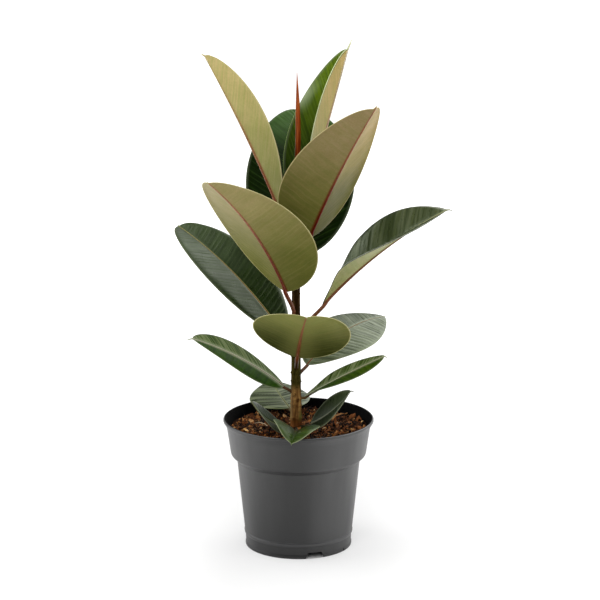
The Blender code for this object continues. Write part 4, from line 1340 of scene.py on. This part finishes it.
def ribMaterial(name, looks):
    made, nodes = newMaterial(name + "Midrib", looks["rib"], 0.45, 0.25)
    lines = nodes.noise(nodes.place(), 300.0, 3.0, 0.6)
    outer = nodes.read("along").fade(0.10, 0.90).mix(looks["rib"], looks["ribTip"])
    whole = nodes.read("run").fade(-0.016, 0.004).mix(looks["stalk"], outer)
    nodes.paint("Base Color", lines.fade(0.35, 0.75, 0.0, 0.4).mix(whole, (0.03, 0.010, 0.004)))
    nodes.bump(lines, 0.0003, 0.5)
    return made


def marginMaterial(name, looks):
    made, nodes = newMaterial(name + "Margin", looks["margin"], 0.5, 0.4)
    patch = nodes.noise(nodes.place(), 120.0, 3.0, 0.6)
    nodes.paint("Base Color", patch.mix(looks["margin"], scaled(looks["margin"], 0.7)))
    return made


def makeLeaves():
    tree = veinTree()
    coats = {}
    for name, looks in leafLooks.items():
        coats[name] = {
            "Face": faceMaterial(name, looks), "Back": backMaterial(name, looks),
            "Midrib": ribMaterial(name, looks), "Margin": marginMaterial(name, looks),
        }
    for number, leaf in enumerate(leaves):
        big = min(1.0, leaf["width"] / 90)
        values = {
            "Spacing": leaf.get("veinSpacing", 0.0045 + 0.0020 * big),
            "Relief": leaf.get("relief", 1.0) * (0.00008 + 0.00012 * big),
            "Fine Relief": 0.00003, "Wave Size": 0.034, "Wave Height": 0.0024 * big, "Seed": number * 3.7,
            "Back Share": blade["backRelief"],
        }
        made = growMesh(leaf["name"] + "Blade", leafMesh(leaf), tree, values | coats[leaf["looks"]])
        finishPiece(made, leaf["name"], 40)


# studio: pale floor, white surroundings, a soft panel on each side and one above

studio = dict(
    floorSize=14.0, floorWhite=0.62, floorGlow=0.35, glowGain=0.50, glowFrom=0.15, glowTo=1.3,
    # the glow that reflections see is a painted reflection, shaped by the side glow, the left share, the loss
    # ahead and the patch
    sideGlow=1.0, leftShare=0.86, sideFrom=0.05, sideTo=0.45, aheadLoss=0.12, aheadFrom=0.03, aheadTo=0.15,
    patchAt=(0.14, -0.10, 0.0), patchFull=0.05, patchEnd=0.14, patchGlow=0.62,
    potShade=0.0590, potLight=0.0606,
    ambient=0.50, darkGloss=0.07, brightGloss=0.95, glossToward=(0.58, 0.52, 0.63),
    glossFrom=0.50, glossTo=0.98,
    panels=(
        dict(name="leftPanel", place=(-1.90, 0.22, 0.92), size=(1.6, 1.5), power=17.0, reflected=True),
        dict(name="highLeftPanel", place=(-0.95, 0.40, 2.30), size=(0.9, 0.9), power=6.0, reflected=True),
        dict(name="rightPanel", place=(1.10, 1.20, 1.60), size=(2.0, 1.6), power=15.0, reflected=True),
        dict(name="frontRightPanel", place=(1.90, -0.50, 0.95), size=(1.4, 1.4), power=8.0, reflected=True),
        dict(name="topPanel", place=(0.0, -0.2, 2.6), size=(2.2, 1.6), power=8.0, reflected=False),
        dict(name="frontPanel", place=(-0.3, -2.4, 1.9), size=(2.0, 1.5), power=30.0, reflected=False),
    ),
    aim=(0.0, 0.0, 0.35), camera=(0.0017, -3.0, 1.033), cameraTurn=76, sensor=36.0, lens=165.84,
)


# what camera rays see, and what reflections see, in place of the light that reaches the object
def seenOrLit(nodes, seen, reflected, lit):
    rays = nodes.add("ShaderNodeLightPath").outputs
    glossy = nodeValue(nodes, rays["Is Glossy Ray"])
    through = nodeValue(nodes, rays["Is Transmission Ray"])
    first = nodes.value("ShaderNodeMix", {0: glossy.maths("MAXIMUM", through), 2: lit, 3: reflected})
    return nodes.value("ShaderNodeMix", {0: nodeValue(nodes, rays["Is Camera Ray"]), 2: first, 3: seen})


def makeWorld():
    world = bpy.data.worlds.new("studioWorld")
    bpy.context.scene.world = world
    world.use_nodes = True
    nodes = nodeTree(world.node_tree)
    back = world.node_tree.nodes["Background"].inputs
    nodes.feed(back["Color"], (1, 1, 1))
    ahead = nodes.value("ShaderNodeTexCoord", output="Generated")
    toward = nodes.vectorMaths("DOT_PRODUCT", {0: ahead, 1: studio["glossToward"]})
    white = toward.fade(studio["glossFrom"], studio["glossTo"], studio["darkGloss"], studio["brightGloss"])
    nodes.feed(back["Strength"], seenOrLit(nodes, 1.0, white, studio["ambient"]))


# a matt floor with a glow: the camera sees it dimmer close to the plant and paler to the sides, and none
# under the pot. Reflections see the glow as a painted reflection, also dimmer ahead of the plant and on its
# left, with a pale patch on the right front
def floorMaterial():
    made = bpy.data.materials.new("paleFloor")
    made.use_nodes = True
    nodes = nodeTree(made.node_tree)
    made.node_tree.nodes.remove(made.node_tree.nodes["Principled BSDF"])
    place = nodes.place()
    away = nodes.vectorMaths("LENGTH", {0: place})
    eastward = nodes.apart(place)[0]
    sideways = eastward.maths("ABSOLUTE")
    brightest = studio["floorGlow"] + studio["glowGain"]
    level = away.fade(studio["glowFrom"], studio["glowTo"], studio["floorGlow"], brightest)
    far = sideways.fade(studio["sideFrom"], studio["sideTo"], 0.0, studio["sideGlow"])
    clear = away.fade(studio["potShade"], studio["potLight"])
    onRight = eastward.fade(-0.05, 0.05, studio["leftShare"], 1.0)
    ahead = sideways.fade(studio["aheadTo"], studio["aheadFrom"], 0.0, studio["aheadLoss"])
    toPatch = nodes.vectorMaths("DISTANCE", {0: place, 1: studio["patchAt"]})
    patch = toPatch.fade(studio["patchEnd"], studio["patchFull"], 0.0, studio["patchGlow"])
    lit = (level - ahead) + (patch + far * onRight)
    glow = seenOrLit(nodes, (level + far) * clear, lit * clear, 0.0)
    matt = nodes.value("ShaderNodeBsdfDiffuse", {"Color": [studio["floorWhite"]] * 3})
    shine = nodes.value("ShaderNodeEmission", {"Strength": glow})
    both = nodes.value("ShaderNodeAddShader", {0: matt, 1: shine})
    nodes.feed(made.node_tree.nodes["Material Output"].inputs[0], both)
    return made


def makeStudio():
    makeWorld()
    half = studio["floorSize"] / 2
    floor = newObject("studioFloor", [(-half, -half, 0), (half, -half, 0), (half, half, 0), (-half, half, 0)],
                      [(0, 1, 2, 3)])
    floor.data.materials.append(floorMaterial())
    for panel in studio["panels"]:
        lamp = bpy.data.lights.new(panel["name"], "AREA")
        lamp.shape = "RECTANGLE"
        lamp.size, lamp.size_y = panel["size"]
        lamp.energy = panel["power"]
        holder = bpy.data.objects.new(panel["name"], lamp)
        holder.location = panel["place"]
        aim = Vector(studio["aim"]) - Vector(panel["place"])
        holder.rotation_euler = aim.to_track_quat("-Z", "Y").to_euler()
        holder.visible_glossy = panel["reflected"]
        bpy.context.scene.collection.objects.link(holder)
    print("made the studio")


def makeCamera():
    lens = bpy.data.cameras.new("plantCamera")
    lens.sensor_width, lens.lens = studio["sensor"], studio["lens"]
    camera = bpy.data.objects.new("plantCamera", lens)
    camera.location = studio["camera"]
    camera.rotation_euler = (math.radians(studio["cameraTurn"]), 0, 0)
    bpy.context.scene.collection.objects.link(camera)
    bpy.context.scene.camera = camera
    print("made the camera")


makeCamera()
makeStudio()
makePot()
makeSoil()
makeStem()
makeSheath()
makeLeaves()
